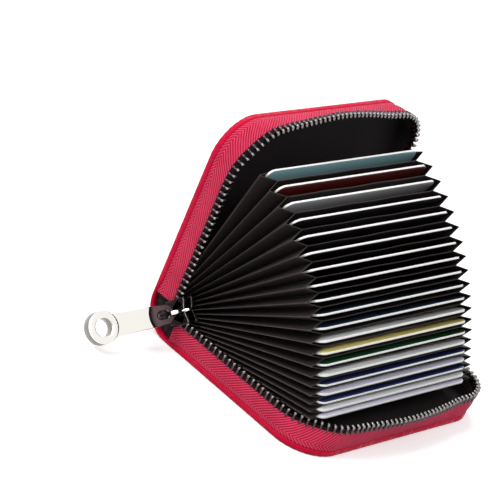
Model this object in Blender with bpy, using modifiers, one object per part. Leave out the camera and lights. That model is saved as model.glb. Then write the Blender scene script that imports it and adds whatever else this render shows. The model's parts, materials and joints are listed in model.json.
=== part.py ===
"""Accordion card wallet, open at rest: two leather covers joined by a spine, a zip round the other
three sides, and a fan of card pockets between them. Metres, +Z up. The lower cover lies flat, its
outer face centred on the origin; +X runs from the spine to the opening edge, +Y along the covers."""

import math

import bmesh
import bpy

MM = 0.001

# Cards and leaves
CARD_COUNT = 20
CARD_LENGTH = 85.60 * MM
CARD_WIDTH = 53.98 * MM
CARD_THICKNESS = 0.76 * MM
CARD_CORNER = 3.18 * MM
CARD_REAR_GAP = 1.8 * MM
CARD_SHOWS = 1.5 * MM
LEAF_THICKNESS = 0.12 * MM
LEAF_REAR_GAP = 0.3 * MM
LEAF_SIDE_INSET = 0.1 * MM
LEAF_CORNER = 2.0 * MM
PAGE_CLEARANCE = 0.12 * MM
STACK_END_ROOM = 0.38 * MM

# Fan of pages: shares of the opening that a page turns by, growing from the lowest page up
OPENING = math.radians(91.0)
FAN_FIRST_SHARE = 0.0967
FAN_STEP_SHARE = 0.01374
FAN_GROWTH_SHARE = 0.001374
CLOSED_REAR_INSET = 8.5 * MM
OPEN_REAR_AHEAD = 1.6 * MM
OPEN_REAR_DROP = 1.1 * MM
OPEN_EXTRA_PITCH = 0.2 * MM

# Accordion spine and pleats
ACCORDION_SPINE_THICKNESS = 0.3 * MM
ACCORDION_SPINE_GAP = 0.4 * MM
ACCORDION_SPINE_END_ROOM = 0.63 * MM
PLEAT_CLEARANCE = 0.4 * MM
PLEAT_DEPTH = 4.0 * MM
PLEAT_THICKNESS = 0.3 * MM
PLEAT_REAR = 0.6 * MM
PLEAT_STATIONS = 4

# Covers, from the outside in
LEATHER_THICKNESS = 1.2 * MM
LEATHER_ROUNDING = 0.35 * MM
BOARD_THICKNESS = 0.7 * MM
BOARD_INSET = 2.6 * MM
LINING_THICKNESS = 0.3 * MM
LINING_INSET = 1.9 * MM
LAYER_GAP = 0.06 * MM
CORNER_RADIUS = 16.0 * MM
FRONT_ROOM = 7.72 * MM
ZIP_END_INSET = 2.0 * MM
SPINE_GAP = 0.4 * MM
SPINE_LINING_GAP = 0.3 * MM
GORE_INNER_RADIUS = 2.8 * MM
GORE_CLEARANCE = 0.8 * MM

# Zip: tapes and teeth
TOOTH_WIDTH = 2.0 * MM
TOOTH_HEIGHT = 1.7 * MM
TOOTH_ROOT = 0.84 * MM
TOOTH_PITCH = 2.4 * MM
TOOTH_CREST_SHARE = 0.4
ROW_GAP = 0.8 * MM
ROW_START = 3.0 * MM
TAPE_THICKNESS = 0.8 * MM
TAPE_START = 1.5 * MM
TAPE_SEAM = 1.0 * MM
END_STOP_LENGTH = 3.4 * MM
END_STOP_HEIGHT = 4.6 * MM

# Zip slider, in its own frame: X along the zip, Z across it
SLIDER_LENGTH = 11.5 * MM
SLIDER_WIDTH = 9.8 * MM
SLIDER_AHEAD = 0.6 * MM
SLIDER_OUTER_PLATE = 1.2 * MM
SLIDER_INNER_PLATE = 1.0 * MM
SLIDER_CLEARANCE = 0.5 * MM
GORE_SLIDER_GAP = 0.35 * MM
WEDGE_THICKNESS = 0.4 * MM
WEDGE_LENGTH = 3.2 * MM
WEDGE_START = 2.7 * MM
LIP_LENGTH = 3.6 * MM
LIP_THICKNESS = 0.8 * MM
LIP_START = 3.6 * MM
LIP_TAPE_GAP = 0.3 * MM
BRIDGE_LENGTH = 9.5 * MM
BRIDGE_WIDTH = 2.0 * MM
BRIDGE_BAR = 1.2 * MM
BRIDGE_ROOM = 3.3 * MM
JOIN_OVERLAP = 0.4 * MM

# Zip pull, along its own X from the pin under the bridge
PULL_LENGTH = 28.2 * MM
PULL_THICKNESS = 1.5 * MM
PULL_TIP_WIDTH = 6.8 * MM
PULL_ROOT_WIDTH = 8.6 * MM
PULL_TIP_CORNER = 2.2 * MM
PULL_PIN = 1.6 * MM
PULL_SLOT_LENGTH = 6.6 * MM
PULL_SLOT_WIDTH = 2.8 * MM
RING_DIAMETER = 11.7 * MM
RING_HOLE = 6.5 * MM
RING_THICKNESS = 4.2 * MM
PULL_REST = math.radians(-17.5)

# Worked out from the sizes above
CLOSED_PITCH = CARD_THICKNESS + LEAF_THICKNESS + PAGE_CLEARANCE
OPEN_PITCH = CLOSED_PITCH + OPEN_EXTRA_PITCH
LEAF_OFFSET = CLOSED_PITCH / 2
CLEAR_HEIGHT = CARD_COUNT * CLOSED_PITCH + 2 * STACK_END_ROOM
LINING_LEVEL = LEATHER_THICKNESS + BOARD_THICKNESS + 2 * LAYER_GAP
ZIP_HEIGHT = LINING_LEVEL + LINING_THICKNESS + CLEAR_HEIGHT / 2
CARD_REACH = CARD_REAR_GAP + CARD_WIDTH
LEAF_REACH = CARD_REACH - CARD_SHOWS
FRONT = CLOSED_REAR_INSET + CARD_REACH + FRONT_ROOM
PANEL_DEPTH = FRONT + ZIP_END_INSET
ZIP_END = PANEL_DEPTH / 2 - FRONT
LEAF_HALF = CARD_LENGTH / 2 - LEAF_SIDE_INSET
VALLEY_Y = CARD_LENGTH / 2 + PLEAT_CLEARANCE
TIP_Y = VALLEY_Y + PLEAT_DEPTH
GORE_Y = TIP_Y + GORE_CLEARANCE
INNER_PLATE_Y = GORE_Y + PLEAT_THICKNESS / 2 + GORE_SLIDER_GAP
TEETH_Y = INNER_PLATE_Y + SLIDER_INNER_PLATE + SLIDER_CLEARANCE + TOOTH_WIDTH / 2
HALF_WIDTH = TEETH_Y + TAPE_SEAM
OUTER_PLATE_Y = TEETH_Y + TOOTH_WIDTH / 2 + SLIDER_CLEARANCE
BRIDGE_Y = OUTER_PLATE_Y + SLIDER_OUTER_PLATE
PIN_Y = BRIDGE_Y + BRIDGE_ROOM / 2
TOOTH_TOP = -ROW_GAP / 2
TOOTH_FOOT = TOOTH_TOP - TOOTH_HEIGHT - TOOTH_ROOT
SPINE_RADIUS = ZIP_HEIGHT - LEATHER_THICKNESS / 2
SPINE_START = math.asin((ZIP_END_INSET + SPINE_GAP) / SPINE_RADIUS)
SPINE_LINING_RADIUS = SPINE_RADIUS - LEATHER_THICKNESS / 2 - SPINE_LINING_GAP - LINING_THICKNESS / 2

CORNER_STEPS = 7
CARD_STEPS = 4
SPINE_STEPS = 7
RING_STEPS = 28

CARD_COLOURS = {
    "lavender": (0.74, 0.72, 0.84),
    "white": (0.82, 0.82, 0.82),
    "navy": (0.02, 0.03, 0.13),
    "green": (0.02, 0.09, 0.05),
    "yellow": (0.78, 0.66, 0.16),
    "blue": (0.25, 0.36, 0.55),
    "black": (0.03, 0.03, 0.035),
    "silver": (0.46, 0.46, 0.48),
    "red": (0.30, 0.03, 0.05),
    "teal": (0.30, 0.58, 0.62),
}
CARD_ORDER = ("lavender", "white", "navy", "lavender", "navy", "white", "green", "yellow", "white")
CARD_ORDER += 2 * ("blue",) + 6 * ("black",) + ("silver", "red", "teal")


def clear_scene():
    """Removes what the scene holds and makes one collection for the parts and one for the cutters."""
    for obj in list(bpy.data.objects):
        bpy.data.objects.remove(obj, do_unlink=True)
    made = []
    for name in ("card_wallet", "cutters"):
        collection = bpy.data.collections.new(name)
        bpy.context.scene.collection.children.link(collection)
        made.append(collection)
    return made


def finish(name, colour, roughness, metallic=0.0):
    """A plain Principled material."""
    material = bpy.data.materials.new(name)
    material.use_nodes = True
    shader = material.node_tree.nodes["Principled BSDF"]
    shader.inputs["Base Color"].default_value = (*colour, 1.0)
    shader.inputs["Roughness"].default_value = roughness
    shader.inputs["Metallic"].default_value = metallic
    return material


def frame(name, location, rotation=(0.0, 0.0, 0.0), parent=None):
    """An empty on a joint's axis, which carries the pieces that turn about it."""
    empty = bpy.data.objects.new(name, None)
    parts.objects.link(empty)
    empty.location = location
    empty.rotation_euler = rotation
    empty.parent = parent
    return empty


def place(name, data, material, parent, location=(0.0, 0.0, 0.0), rotation=(0.0, 0.0, 0.0)):
    """Puts a mesh or a curve in the scene as one part."""
    data.materials.append(material)
    obj = bpy.data.objects.new(name, data)
    parts.objects.link(obj)
    obj.parent = parent
    obj.location = location
    obj.rotation_euler = rotation
    return obj


def arc(x, y, radius, start, end, steps):
    """Points from the angle start to the angle end, in quarter turns, both included."""
    quarter = math.pi / 2
    return [
        (
            x + radius * math.cos(quarter * (start + (end - start) * i / steps)),
            y + radius * math.sin(quarter * (start + (end - start) * i / steps)),
        )
        for i in range(steps + 1)
    ]


def outline(rear, front, half, front_radius, rear_radius=0.0, steps=CORNER_STEPS):
    """A rectangle with round corners, anticlockwise. A rear radius of zero leaves square corners."""
    points = arc(front - front_radius, front_radius - half, front_radius, -1, 0, steps)
    points += arc(front - front_radius, half - front_radius, front_radius, 0, 1, steps)
    if rear_radius == 0.0:
        return points + [(rear, half), (rear, -half)]
    points += arc(rear + rear_radius, half - rear_radius, rear_radius, 1, 2, steps)
    return points + arc(rear + rear_radius, rear_radius - half, rear_radius, 2, 3, steps)


def circle(x, y, radius, steps=RING_STEPS):
    """A closed circle, with no point twice."""
    return arc(x, y, radius, 0, 4, steps)[:-1]


def flat_curve(name, outlines, thickness, rounding=0.0):
    """A flat plate of this thickness, half on each side of its plane. The first outline is its edge,
    the others are holes."""
    curve = bpy.data.curves.new(name, "CURVE")
    curve.dimensions = "2D"
    curve.fill_mode = "BOTH"
    curve.extrude = thickness / 2 - rounding
    curve.bevel_depth = rounding
    curve.bevel_resolution = 1
    curve.offset = -rounding
    for points in outlines:
        spline = curve.splines.new("POLY")
        spline.points.add(len(points) - 1)
        for point, (x, y) in zip(spline.points, points):
            point.co = (x, y, 0.0, 1.0)
        spline.use_cyclic_u = True
    return curve


def mesh_of(curve_object):
    """Turns a flat curve into a closed mesh, which a Boolean can take."""
    graph = bpy.context.evaluated_depsgraph_get()
    mesh = bpy.data.meshes.new_from_object(curve_object.evaluated_get(graph))
    model = bmesh.new()
    model.from_mesh(mesh)
    bmesh.ops.remove_doubles(model, verts=model.verts, dist=LAYER_GAP / 100)
    bmesh.ops.recalc_face_normals(model, faces=model.faces)
    model.to_mesh(mesh)
    model.free()
    solid = bpy.data.objects.new(curve_object.name, mesh)
    solid.parent = curve_object.parent
    solid.location = curve_object.location
    solid.rotation_euler = curve_object.rotation_euler
    parts.objects.link(solid)
    name = curve_object.name
    bpy.data.objects.remove(curve_object)
    solid.name = name
    return solid


def box(name, x, y, z):
    """A box mesh between the two ends given for each axis."""
    model = bmesh.new()
    bmesh.ops.create_cube(model, size=1.0)
    for vert in model.verts:
        for axis, (low, high) in enumerate((x, y, z)):
            vert.co[axis] = low + (high - low) * (vert.co[axis] + 0.5)
    mesh = bpy.data.meshes.new(name)
    model.to_mesh(mesh)
    model.free()
    return mesh


def joined(base, others):
    """Unites the other pieces with the base. They stay as hidden helpers."""
    for other in others:
        parts.objects.unlink(other)
        cutters.objects.link(other)
        other.hide_render = True
        other.display_type = "WIRE"
        modifier = base.modifiers.new("join_" + other.name, "BOOLEAN")
        modifier.operation = "UNION"
        modifier.object = other
    return base


def sheet(name, rows, wall, material, parent):
    """An open surface through rows of points, with a wall that lies half on each side of it."""
    model = bmesh.new()
    grid = [[model.verts.new(point) for point in row] for row in rows]
    for low, high in zip(grid, grid[1:]):
        for a, b, c, d in zip(low, low[1:], high[1:], high):
            model.faces.new((a, b, c, d))
    bmesh.ops.recalc_face_normals(model, faces=model.faces)
    mesh = bpy.data.meshes.new(name)
    model.to_mesh(mesh)
    model.free()
    obj = place(name, mesh, material, parent)
    modifier = obj.modifiers.new("wall", "SOLIDIFY")
    modifier.thickness = wall
    modifier.offset = 0.0
    return obj


def loft(name, sections):
    """A closed solid through four-sided sections, with a face over each end."""
    model = bmesh.new()
    rings = [[model.verts.new(point) for point in section] for section in sections]
    for low, high in zip(rings, rings[1:]):
        for i in range(len(low)):
            j = (i + 1) % len(low)
            model.faces.new((low[i], low[j], high[j], high[i]))
    model.faces.new(rings[0][::-1])
    model.faces.new(rings[-1])
    bmesh.ops.recalc_face_normals(model, faces=model.faces)
    mesh = bpy.data.meshes.new(name)
    model.to_mesh(mesh)
    model.free()
    return mesh


class Rim:
    """The way round three sides of a cover, from the zip end on one side to the zip end on the other."""

    def __init__(self, start):
        self.start = start
        self.radius = CORNER_RADIUS - TAPE_SEAM
        self.straight = FRONT - CORNER_RADIUS - start
        self.quarter = self.radius * math.pi / 2
        self.across = 2 * (HALF_WIDTH - CORNER_RADIUS)
        self.length = 2 * self.straight + 2 * self.quarter + self.across

    def at(self, distance):
        """Point and outward direction at a distance along the way."""
        if distance > self.length / 2:
            (x, y), (out_x, out_y) = self.at(self.length - distance)
            return (x, -y), (out_x, -out_y)
        if distance < self.straight:
            return (self.start + distance, -TEETH_Y), (0.0, -1.0)
        turned = (distance - self.straight) / self.radius
        if turned > math.pi / 2:
            beyond = distance - self.straight - self.quarter
            return (FRONT - TAPE_SEAM, CORNER_RADIUS - HALF_WIDTH + beyond), (1.0, 0.0)
        out = (math.sin(turned), -math.cos(turned))
        centre = (FRONT - CORNER_RADIUS, CORNER_RADIUS - HALF_WIDTH)
        return (centre[0] + self.radius * out[0], centre[1] + self.radius * out[1]), out

    def stations(self):
        """Distances of the ends, the corners and the steps round the corners."""
        corner = [self.straight + self.quarter * i / CORNER_STEPS for i in range(CORNER_STEPS + 1)]
        return [0.0] + corner + [self.length - d for d in reversed(corner)] + [self.length]


def panel_layer(name, level, thickness, inset, material, parent, rounding=0.0):
    """One flat layer of a cover, its under side at this height above the cover's outer face."""
    edge = outline(inset - ZIP_END_INSET, FRONT - inset, HALF_WIDTH - inset, CORNER_RADIUS - inset)
    curve = flat_curve(name, [edge], thickness, rounding)
    return place(name, curve, material, parent, (0.0, 0.0, level + thickness / 2 - ZIP_HEIGHT))


def tape(name, material, parent):
    """The zip tape: a wall that stands on the leather's edge and carries the teeth."""
    rim = Rim(TAPE_START)
    levels = (LEATHER_THICKNESS + LAYER_GAP - ZIP_HEIGHT, TOOTH_FOOT - LAYER_GAP)
    rows = [[(*rim.at(distance)[0], level) for distance in rim.stations()] for level in levels]
    return sheet(name, rows, TAPE_THICKNESS, material, parent)


def teeth(name, material, parent):
    """One row of teeth: a bar with a crest for each tooth."""
    rim = Rim(ROW_START)
    count = round(rim.length / TOOTH_PITCH)
    pitch = rim.length / count
    half_crest = TOOTH_CREST_SHARE * pitch / 2
    valley = TOOTH_TOP - TOOTH_HEIGHT
    stops = [(0.0, valley)]
    for i in range(count):
        middle = (i + 0.5) * pitch
        stops += [(middle - half_crest, TOOTH_TOP), (middle + half_crest, TOOTH_TOP)]
        stops.append(((i + 1) * pitch, valley))
    sections = []
    for distance, top in stops:
        (x, y), (out_x, out_y) = rim.at(distance)
        inner = (x - out_x * TOOTH_WIDTH / 2, y - out_y * TOOTH_WIDTH / 2)
        outer = (x + out_x * TOOTH_WIDTH / 2, y + out_y * TOOTH_WIDTH / 2)
        sections.append([(*inner, TOOTH_FOOT), (*outer, TOOTH_FOOT), (*outer, top), (*inner, top)])
    return place(name, loft(name, sections), material, parent)


def cover(side, parent):
    """Leather, board, lining, tape and teeth of one cover."""
    panel_layer(side + "_leather", 0.0, LEATHER_THICKNESS, 0.0, leather, parent, LEATHER_ROUNDING)
    board_level = LEATHER_THICKNESS + LAYER_GAP
    panel_layer(side + "_board", board_level, BOARD_THICKNESS, BOARD_INSET, board, parent)
    panel_layer(side + "_lining", LINING_LEVEL, LINING_THICKNESS, LINING_INSET, lining, parent)
    tape(side + "_tape", tape_cloth, parent)
    teeth(side + "_teeth", black_nickel, parent)


def around_axis(radius, angle, y):
    """A point at this distance and angle from the zip end's axis."""
    return (radius * math.cos(angle), y, radius * math.sin(angle))


def spine(parent):
    """The leather and the lining that join the covers. The lining holds the gores at the zip's ends."""
    first = OPENING + math.pi / 2 + SPINE_START
    last = 1.5 * math.pi - SPINE_START
    angles = [first + (last - first) * i / SPINE_STEPS for i in range(SPINE_STEPS + 1)]
    outer = [(SPINE_RADIUS, -HALF_WIDTH), (SPINE_RADIUS, HALF_WIDTH)]
    rows = [[around_axis(radius, angle, y) for radius, y in outer] for angle in angles]
    sheet("spine_leather", rows, LEATHER_THICKNESS, leather, parent)
    inner = [
        (GORE_INNER_RADIUS, -GORE_Y),
        (SPINE_LINING_RADIUS, -GORE_Y),
        (SPINE_LINING_RADIUS, GORE_Y),
        (GORE_INNER_RADIUS, GORE_Y),
    ]
    rows = [[around_axis(radius, angle, y) for radius, y in inner] for angle in angles]
    sheet("spine_lining", rows, LINING_THICKNESS, lining, parent)


def page_share(index):
    """The share of the opening that a page turns by. Pages count from 0, the lowest."""
    return FAN_FIRST_SHARE + FAN_STEP_SHARE * index + FAN_GROWTH_SHARE * index**2


def rear_point(index):
    """Where a page's rear edge lies, from the zip end, with the wallet closed and open."""
    step = index - (CARD_COUNT - 1) / 2
    closed = (CLOSED_REAR_INSET, step * CLOSED_PITCH)
    half = OPENING / 2
    opened = (
        OPEN_REAR_AHEAD - step * OPEN_PITCH * math.sin(half),
        -OPEN_REAR_DROP + step * OPEN_PITCH * math.cos(half),
    )
    return closed, opened


def pivot(closed, opened, angle):
    """The centre of the turn by this angle that takes one point to the other."""
    middle = ((closed[0] + opened[0]) / 2, (closed[1] + opened[1]) / 2)
    moved = (opened[0] - closed[0], opened[1] - closed[1])
    scale = 1 / (2 * math.tan(angle / 2))
    return middle[0] - moved[1] * scale, middle[1] + moved[0] * scale


def page(index):
    """One pocket: its leaf and, on it, its card. They turn about the page's own pivot."""
    closed, opened = rear_point(index)
    angle = page_share(index) * OPENING
    centre = pivot(closed, opened, angle)
    number = f"{index + 1:02d}"
    turn = frame("page_" + number, (ZIP_END + centre[0], 0.0, ZIP_HEIGHT + centre[1]), (0.0, -angle, 0.0))
    rear_x = closed[0] - centre[0]
    rear_z = closed[1] - centre[1]
    edge = outline(LEAF_REAR_GAP, LEAF_REACH, LEAF_HALF, LEAF_CORNER, steps=CARD_STEPS)
    offsets = [-LEAF_OFFSET] if index < CARD_COUNT - 1 else [-LEAF_OFFSET, LEAF_OFFSET]
    for i, offset in enumerate(offsets):
        name = f"leaf_{index + 1 + i:02d}"
        curve = flat_curve(name, [edge], LEAF_THICKNESS)
        place(name, curve, accordion_cloth, turn, (rear_x, 0.0, rear_z + offset))
    edge = outline(CARD_REAR_GAP, CARD_REACH, CARD_LENGTH / 2, CARD_CORNER, CARD_CORNER, CARD_STEPS)
    name = "card_" + number
    plastic = card_plastic[CARD_ORDER[index % len(CARD_ORDER)]]
    curve = flat_curve(name, [edge], CARD_THICKNESS)
    place(name, curve, plastic, turn, (rear_x, 0.0, rear_z))


def page_point(index, reach, offset):
    """A point of an open page, from the zip end: so far along it, so far above its card's middle."""
    opened = rear_point(index)[1]
    angle = page_share(index) * OPENING
    return (
        opened[0] + reach * math.cos(angle) - offset * math.sin(angle),
        opened[1] + reach * math.sin(angle) + offset * math.cos(angle),
    )


def pleats(name, side, parent):
    """The folded wall that closes the pockets at one end: out at each card, in between them."""
    rows = []
    for station in range(PLEAT_STATIONS):
        reach = PLEAT_REAR + (LEAF_REACH - PLEAT_REAR) * station / (PLEAT_STATIONS - 1)
        row = []
        for index in range(CARD_COUNT):
            x, z = page_point(index, reach, -LEAF_OFFSET)
            row.append((x, side * VALLEY_Y, z))
            x, z = page_point(index, reach, 0.0)
            row.append((x, side * TIP_Y, z))
        x, z = page_point(CARD_COUNT - 1, reach, LEAF_OFFSET)
        row.append((x, side * VALLEY_Y, z))
        rows.append(row)
    for row in rows:
        for i in range(2, 2 * CARD_COUNT, 2):
            above = row[i + 1]
            below = row[i - 1]
            row[i] = ((above[0] + below[0]) / 2, side * VALLEY_Y, (above[2] + below[2]) / 2)
    return sheet(name, rows, PLEAT_THICKNESS, accordion_cloth, parent)


def accordion_spine(parent):
    """The strip that the leaves are sewn to, behind their rear edges."""
    half = CLEAR_HEIGHT / 2 - ACCORDION_SPINE_END_ROOM
    sine = math.sin(OPENING / 2)
    cosine = math.cos(OPENING / 2)
    front = OPEN_REAR_AHEAD * cosine - OPEN_REAR_DROP * sine - ACCORDION_SPINE_GAP
    z = -OPEN_REAR_AHEAD * sine - OPEN_REAR_DROP * cosine
    mesh = box(
        "accordion_spine",
        (front - ACCORDION_SPINE_THICKNESS, front),
        (-LEAF_HALF, LEAF_HALF),
        (z - half, z + half),
    )
    return place("accordion_spine", mesh, accordion_cloth, parent)


def end_stop(name, side, parent):
    """The stop across the ends of both tapes."""
    y = side * TEETH_Y
    mesh = box(
        name,
        (-END_STOP_LENGTH / 2, END_STOP_LENGTH / 2),
        (y - TOOTH_WIDTH / 2, y + TOOTH_WIDTH / 2),
        (-END_STOP_HEIGHT / 2, END_STOP_HEIGHT / 2),
    )
    return place(name, mesh, black_nickel, parent)


def slider(parent):
    """Two plates joined by the wedge between the rows, lips round the tapes, and the bridge."""
    rear = SLIDER_AHEAD - SLIDER_LENGTH / 2
    front = SLIDER_AHEAD + SLIDER_LENGTH / 2
    corner = SLIDER_WIDTH / 4
    plate = outline(rear, front, SLIDER_WIDTH / 2, corner, corner, CARD_STEPS)
    solids = []
    for name, y, thickness in (
        ("slider_body", OUTER_PLATE_Y, SLIDER_OUTER_PLATE),
        ("slider_inner", INNER_PLATE_Y, SLIDER_INNER_PLATE),
    ):
        curve = flat_curve(name, [plate], thickness)
        middle = (0.0, -y - thickness / 2, 0.0)
        solids.append(mesh_of(place(name, curve, chrome, parent, middle, (math.pi / 2, 0.0, 0.0))))
    inside = -INNER_PLATE_Y - SLIDER_INNER_PLATE
    wedge = box(
        "slider_wedge",
        (WEDGE_START, WEDGE_START + WEDGE_LENGTH),
        (-OUTER_PLATE_Y - JOIN_OVERLAP, inside + JOIN_OVERLAP),
        (-WEDGE_THICKNESS / 2, WEDGE_THICKNESS / 2),
    )
    solids.append(place("slider_wedge", wedge, chrome, parent))
    tape_outer = -TEETH_Y - TAPE_THICKNESS / 2 - LIP_TAPE_GAP
    tape_inner = -TEETH_Y + TAPE_THICKNESS / 2 + LIP_TAPE_GAP
    lip_x = (rear + corner, rear + corner + LIP_LENGTH - corner / 2)
    for name, y in (
        ("outer", (-OUTER_PLATE_Y - JOIN_OVERLAP, tape_outer)),
        ("inner", (tape_inner, inside + JOIN_OVERLAP)),
    ):
        for side, z in (
            ("low", (-LIP_START - LIP_THICKNESS, -LIP_START)),
            ("high", (LIP_START, LIP_START + LIP_THICKNESS)),
        ):
            label = f"slider_{name}_{side}_lip"
            solids.append(place(label, box(label, lip_x, y, z), chrome, parent))
    rise = BRIDGE_ROOM + BRIDGE_BAR
    half = BRIDGE_LENGTH / 2
    inner = half - BRIDGE_BAR
    bend = BRIDGE_BAR
    arch = [(-half, -JOIN_OVERLAP), (-half, rise - bend), (-half + bend, rise)]
    arch += [(half - bend, rise), (half, rise - bend), (half, -JOIN_OVERLAP), (inner, -JOIN_OVERLAP)]
    arch += [(inner, BRIDGE_ROOM - bend / 2), (inner - bend / 2, BRIDGE_ROOM)]
    arch += [(bend / 2 - inner, BRIDGE_ROOM), (-inner, BRIDGE_ROOM - bend / 2), (-inner, -JOIN_OVERLAP)]
    points = [(SLIDER_AHEAD + x, -y) for x, y in arch]
    curve = flat_curve("slider_bridge", [points], BRIDGE_WIDTH)
    solids.append(mesh_of(place("slider_bridge", curve, chrome, parent, (0.0, -BRIDGE_Y, 0.0))))
    return joined(solids[0], solids[1:])


def pull(parent):
    """The flat pull, its slot round the bridge and its thick ring."""
    tip = -PULL_PIN / 2
    radius = RING_DIAMETER / 2
    half_tip = PULL_TIP_WIDTH / 2
    edge = arc(tip + PULL_TIP_CORNER, PULL_TIP_CORNER - half_tip, PULL_TIP_CORNER, 3, 2, CARD_STEPS)
    edge += arc(tip + PULL_TIP_CORNER, half_tip - PULL_TIP_CORNER, PULL_TIP_CORNER, 2, 1, CARD_STEPS)
    root = PULL_LENGTH - RING_HOLE / 2 - JOIN_OVERLAP
    edge += [(root, PULL_ROOT_WIDTH / 2), (root, -PULL_ROOT_WIDTH / 2)]
    slot_start = PULL_PIN / 2
    slot = outline(
        slot_start,
        slot_start + PULL_SLOT_LENGTH,
        PULL_SLOT_WIDTH / 2,
        PULL_SLOT_WIDTH / 2,
        steps=CARD_STEPS,
    )
    place_at = (SLIDER_AHEAD, -PIN_Y, 0.0)
    turned = (math.pi / 2, 0.0, PULL_REST - math.pi / 2)
    hole = circle(PULL_LENGTH, 0.0, RING_HOLE / 2)
    plate = flat_curve("pull_tab", [edge, slot], PULL_THICKNESS)
    plate = mesh_of(place("pull_tab", plate, chrome, parent, place_at, turned))
    ring = flat_curve("pull_ring", [circle(PULL_LENGTH, 0.0, radius), hole], RING_THICKNESS)
    ring = mesh_of(place("pull_ring", ring, chrome, parent, place_at, turned))
    return joined(plate, [ring])


parts, cutters = clear_scene()
leather = finish("crimson_leather", (0.57, 0.01, 0.05), 0.45)
board = finish("grey_board", (0.35, 0.33, 0.30), 0.9)
lining = finish("black_lining", (0.012, 0.010, 0.011), 0.8)
tape_cloth = finish("crimson_tape", (0.62, 0.03, 0.08), 0.75)
black_nickel = finish("black_nickel", (0.06, 0.06, 0.065), 0.25, 1.0)
chrome = finish("chrome", (0.75, 0.75, 0.75), 0.12, 1.0)
accordion_cloth = finish("accordion_cloth", (0.022, 0.016, 0.016), 0.8)
card_plastic = {name: finish("card_" + name, colour, 0.35) for name, colour in CARD_COLOURS.items()}

zip_end = (ZIP_END, 0.0, ZIP_HEIGHT)
lower = frame("lower_cover", zip_end)
upper = frame("upper_cover", zip_end, (math.pi, -OPENING, 0.0))
halfway = frame("zip_end", zip_end, (0.0, -OPENING / 2, 0.0))
cover("lower", lower)
cover("upper", upper)
spine(lower)
for page_index in range(CARD_COUNT):
    page(page_index)
pleats("left_pleats", -1, lower)
pleats("right_pleats", 1, lower)
accordion_spine(halfway)
end_stop("zip_end_stop", -1, halfway)
end_stop("far_end_stop", 1, halfway)
slider(halfway)
pull(halfway)
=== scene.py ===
"""Looks of the accordion card wallet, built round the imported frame: pebbled leather covers with a
stitched edge, herringbone zip tape with metal teeth, a fan of cloth pockets with plastic cards, and a
chrome slider with its pull. Lengths are in metres; MM turns millimetres into them."""

import json
import logging
import math
from dataclasses import dataclass, field
from enum import Enum
from typing import Any, Callable

import bmesh
import bpy
import numpy as np
from bpy.types import Material, Node, NodeSocket, NodeTree, Object
from mathutils import Matrix, Vector


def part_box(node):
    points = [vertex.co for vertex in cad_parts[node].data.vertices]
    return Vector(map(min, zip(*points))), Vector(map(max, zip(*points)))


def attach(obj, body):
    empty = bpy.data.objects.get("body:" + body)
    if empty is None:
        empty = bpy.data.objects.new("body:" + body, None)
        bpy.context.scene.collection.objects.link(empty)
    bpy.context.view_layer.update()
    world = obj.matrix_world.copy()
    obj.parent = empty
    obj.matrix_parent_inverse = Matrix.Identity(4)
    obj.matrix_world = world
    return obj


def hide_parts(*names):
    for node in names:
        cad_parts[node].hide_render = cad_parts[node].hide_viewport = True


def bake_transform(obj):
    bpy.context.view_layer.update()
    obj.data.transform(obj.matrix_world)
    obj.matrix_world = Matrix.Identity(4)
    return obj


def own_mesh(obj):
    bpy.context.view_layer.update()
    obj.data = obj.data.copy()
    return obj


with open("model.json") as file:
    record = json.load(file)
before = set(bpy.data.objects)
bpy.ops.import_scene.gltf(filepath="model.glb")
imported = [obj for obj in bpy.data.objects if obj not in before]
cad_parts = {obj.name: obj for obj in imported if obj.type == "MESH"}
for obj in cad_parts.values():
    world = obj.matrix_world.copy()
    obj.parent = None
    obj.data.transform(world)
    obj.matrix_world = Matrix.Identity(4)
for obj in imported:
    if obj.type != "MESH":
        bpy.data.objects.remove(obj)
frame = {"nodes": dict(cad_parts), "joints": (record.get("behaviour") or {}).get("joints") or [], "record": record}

MM = 0.001
TURN = 2 * math.pi
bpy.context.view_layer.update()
log = logging.getLogger("card_wallet")


class Side(Enum):
    """The two covers."""

    LOWER = "lower"
    UPPER = "upper"


class CardFace(Enum):
    """Material slots of a card."""

    CORE = 0
    PRINT = 1


class Coat(Enum):
    """Material slots of the slider and the pull: polished chrome, and darker copies of it with painted shade and
    dark reflection.
    """

    POLISHED = 0
    DARK = 1
    SATIN = 2


def linear(code: str) -> tuple[float, float, float, float]:
    """Turns an sRGB hex colour into Blender's linear colour.

    Args:
        code: six hex digits after a hash.

    Returns:
        Red, green, blue and alpha, from 0 to 1.
    """
    values = [int(code[i : i + 2], 16) / 255 for i in (1, 3, 5)]
    red, green, blue = (v / 12.92 if v <= 0.04045 else ((v + 0.055) / 1.055) ** 2.4 for v in values)
    return red, green, blue, 1.0


def feed(node: Node, inputs: dict) -> None:
    """Sets a node's inputs.

    Args:
        node: the node.
        inputs: for an input's name or number, a value, or the node or socket that feeds it.
    """
    for name, value in inputs.items():
        if isinstance(value, Node):
            value = value.outputs[0]
        if isinstance(value, NodeSocket):
            node.id_data.links.new(value, node.inputs[name])
        else:
            node.inputs[name].default_value = value


def add(tree: NodeTree, kind: str, inputs: dict | None = None, **settings: Any) -> Node:
    """Adds one node with its settings and links.

    Args:
        tree: the node tree.
        kind: the node's type name.
        inputs: what its inputs get, as in feed.
        settings: the node's own properties.

    Returns:
        The new node.
    """
    node = tree.nodes.new(kind)
    for name, value in settings.items():
        setattr(node, name, value)
    feed(node, inputs or {})
    return node


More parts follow.
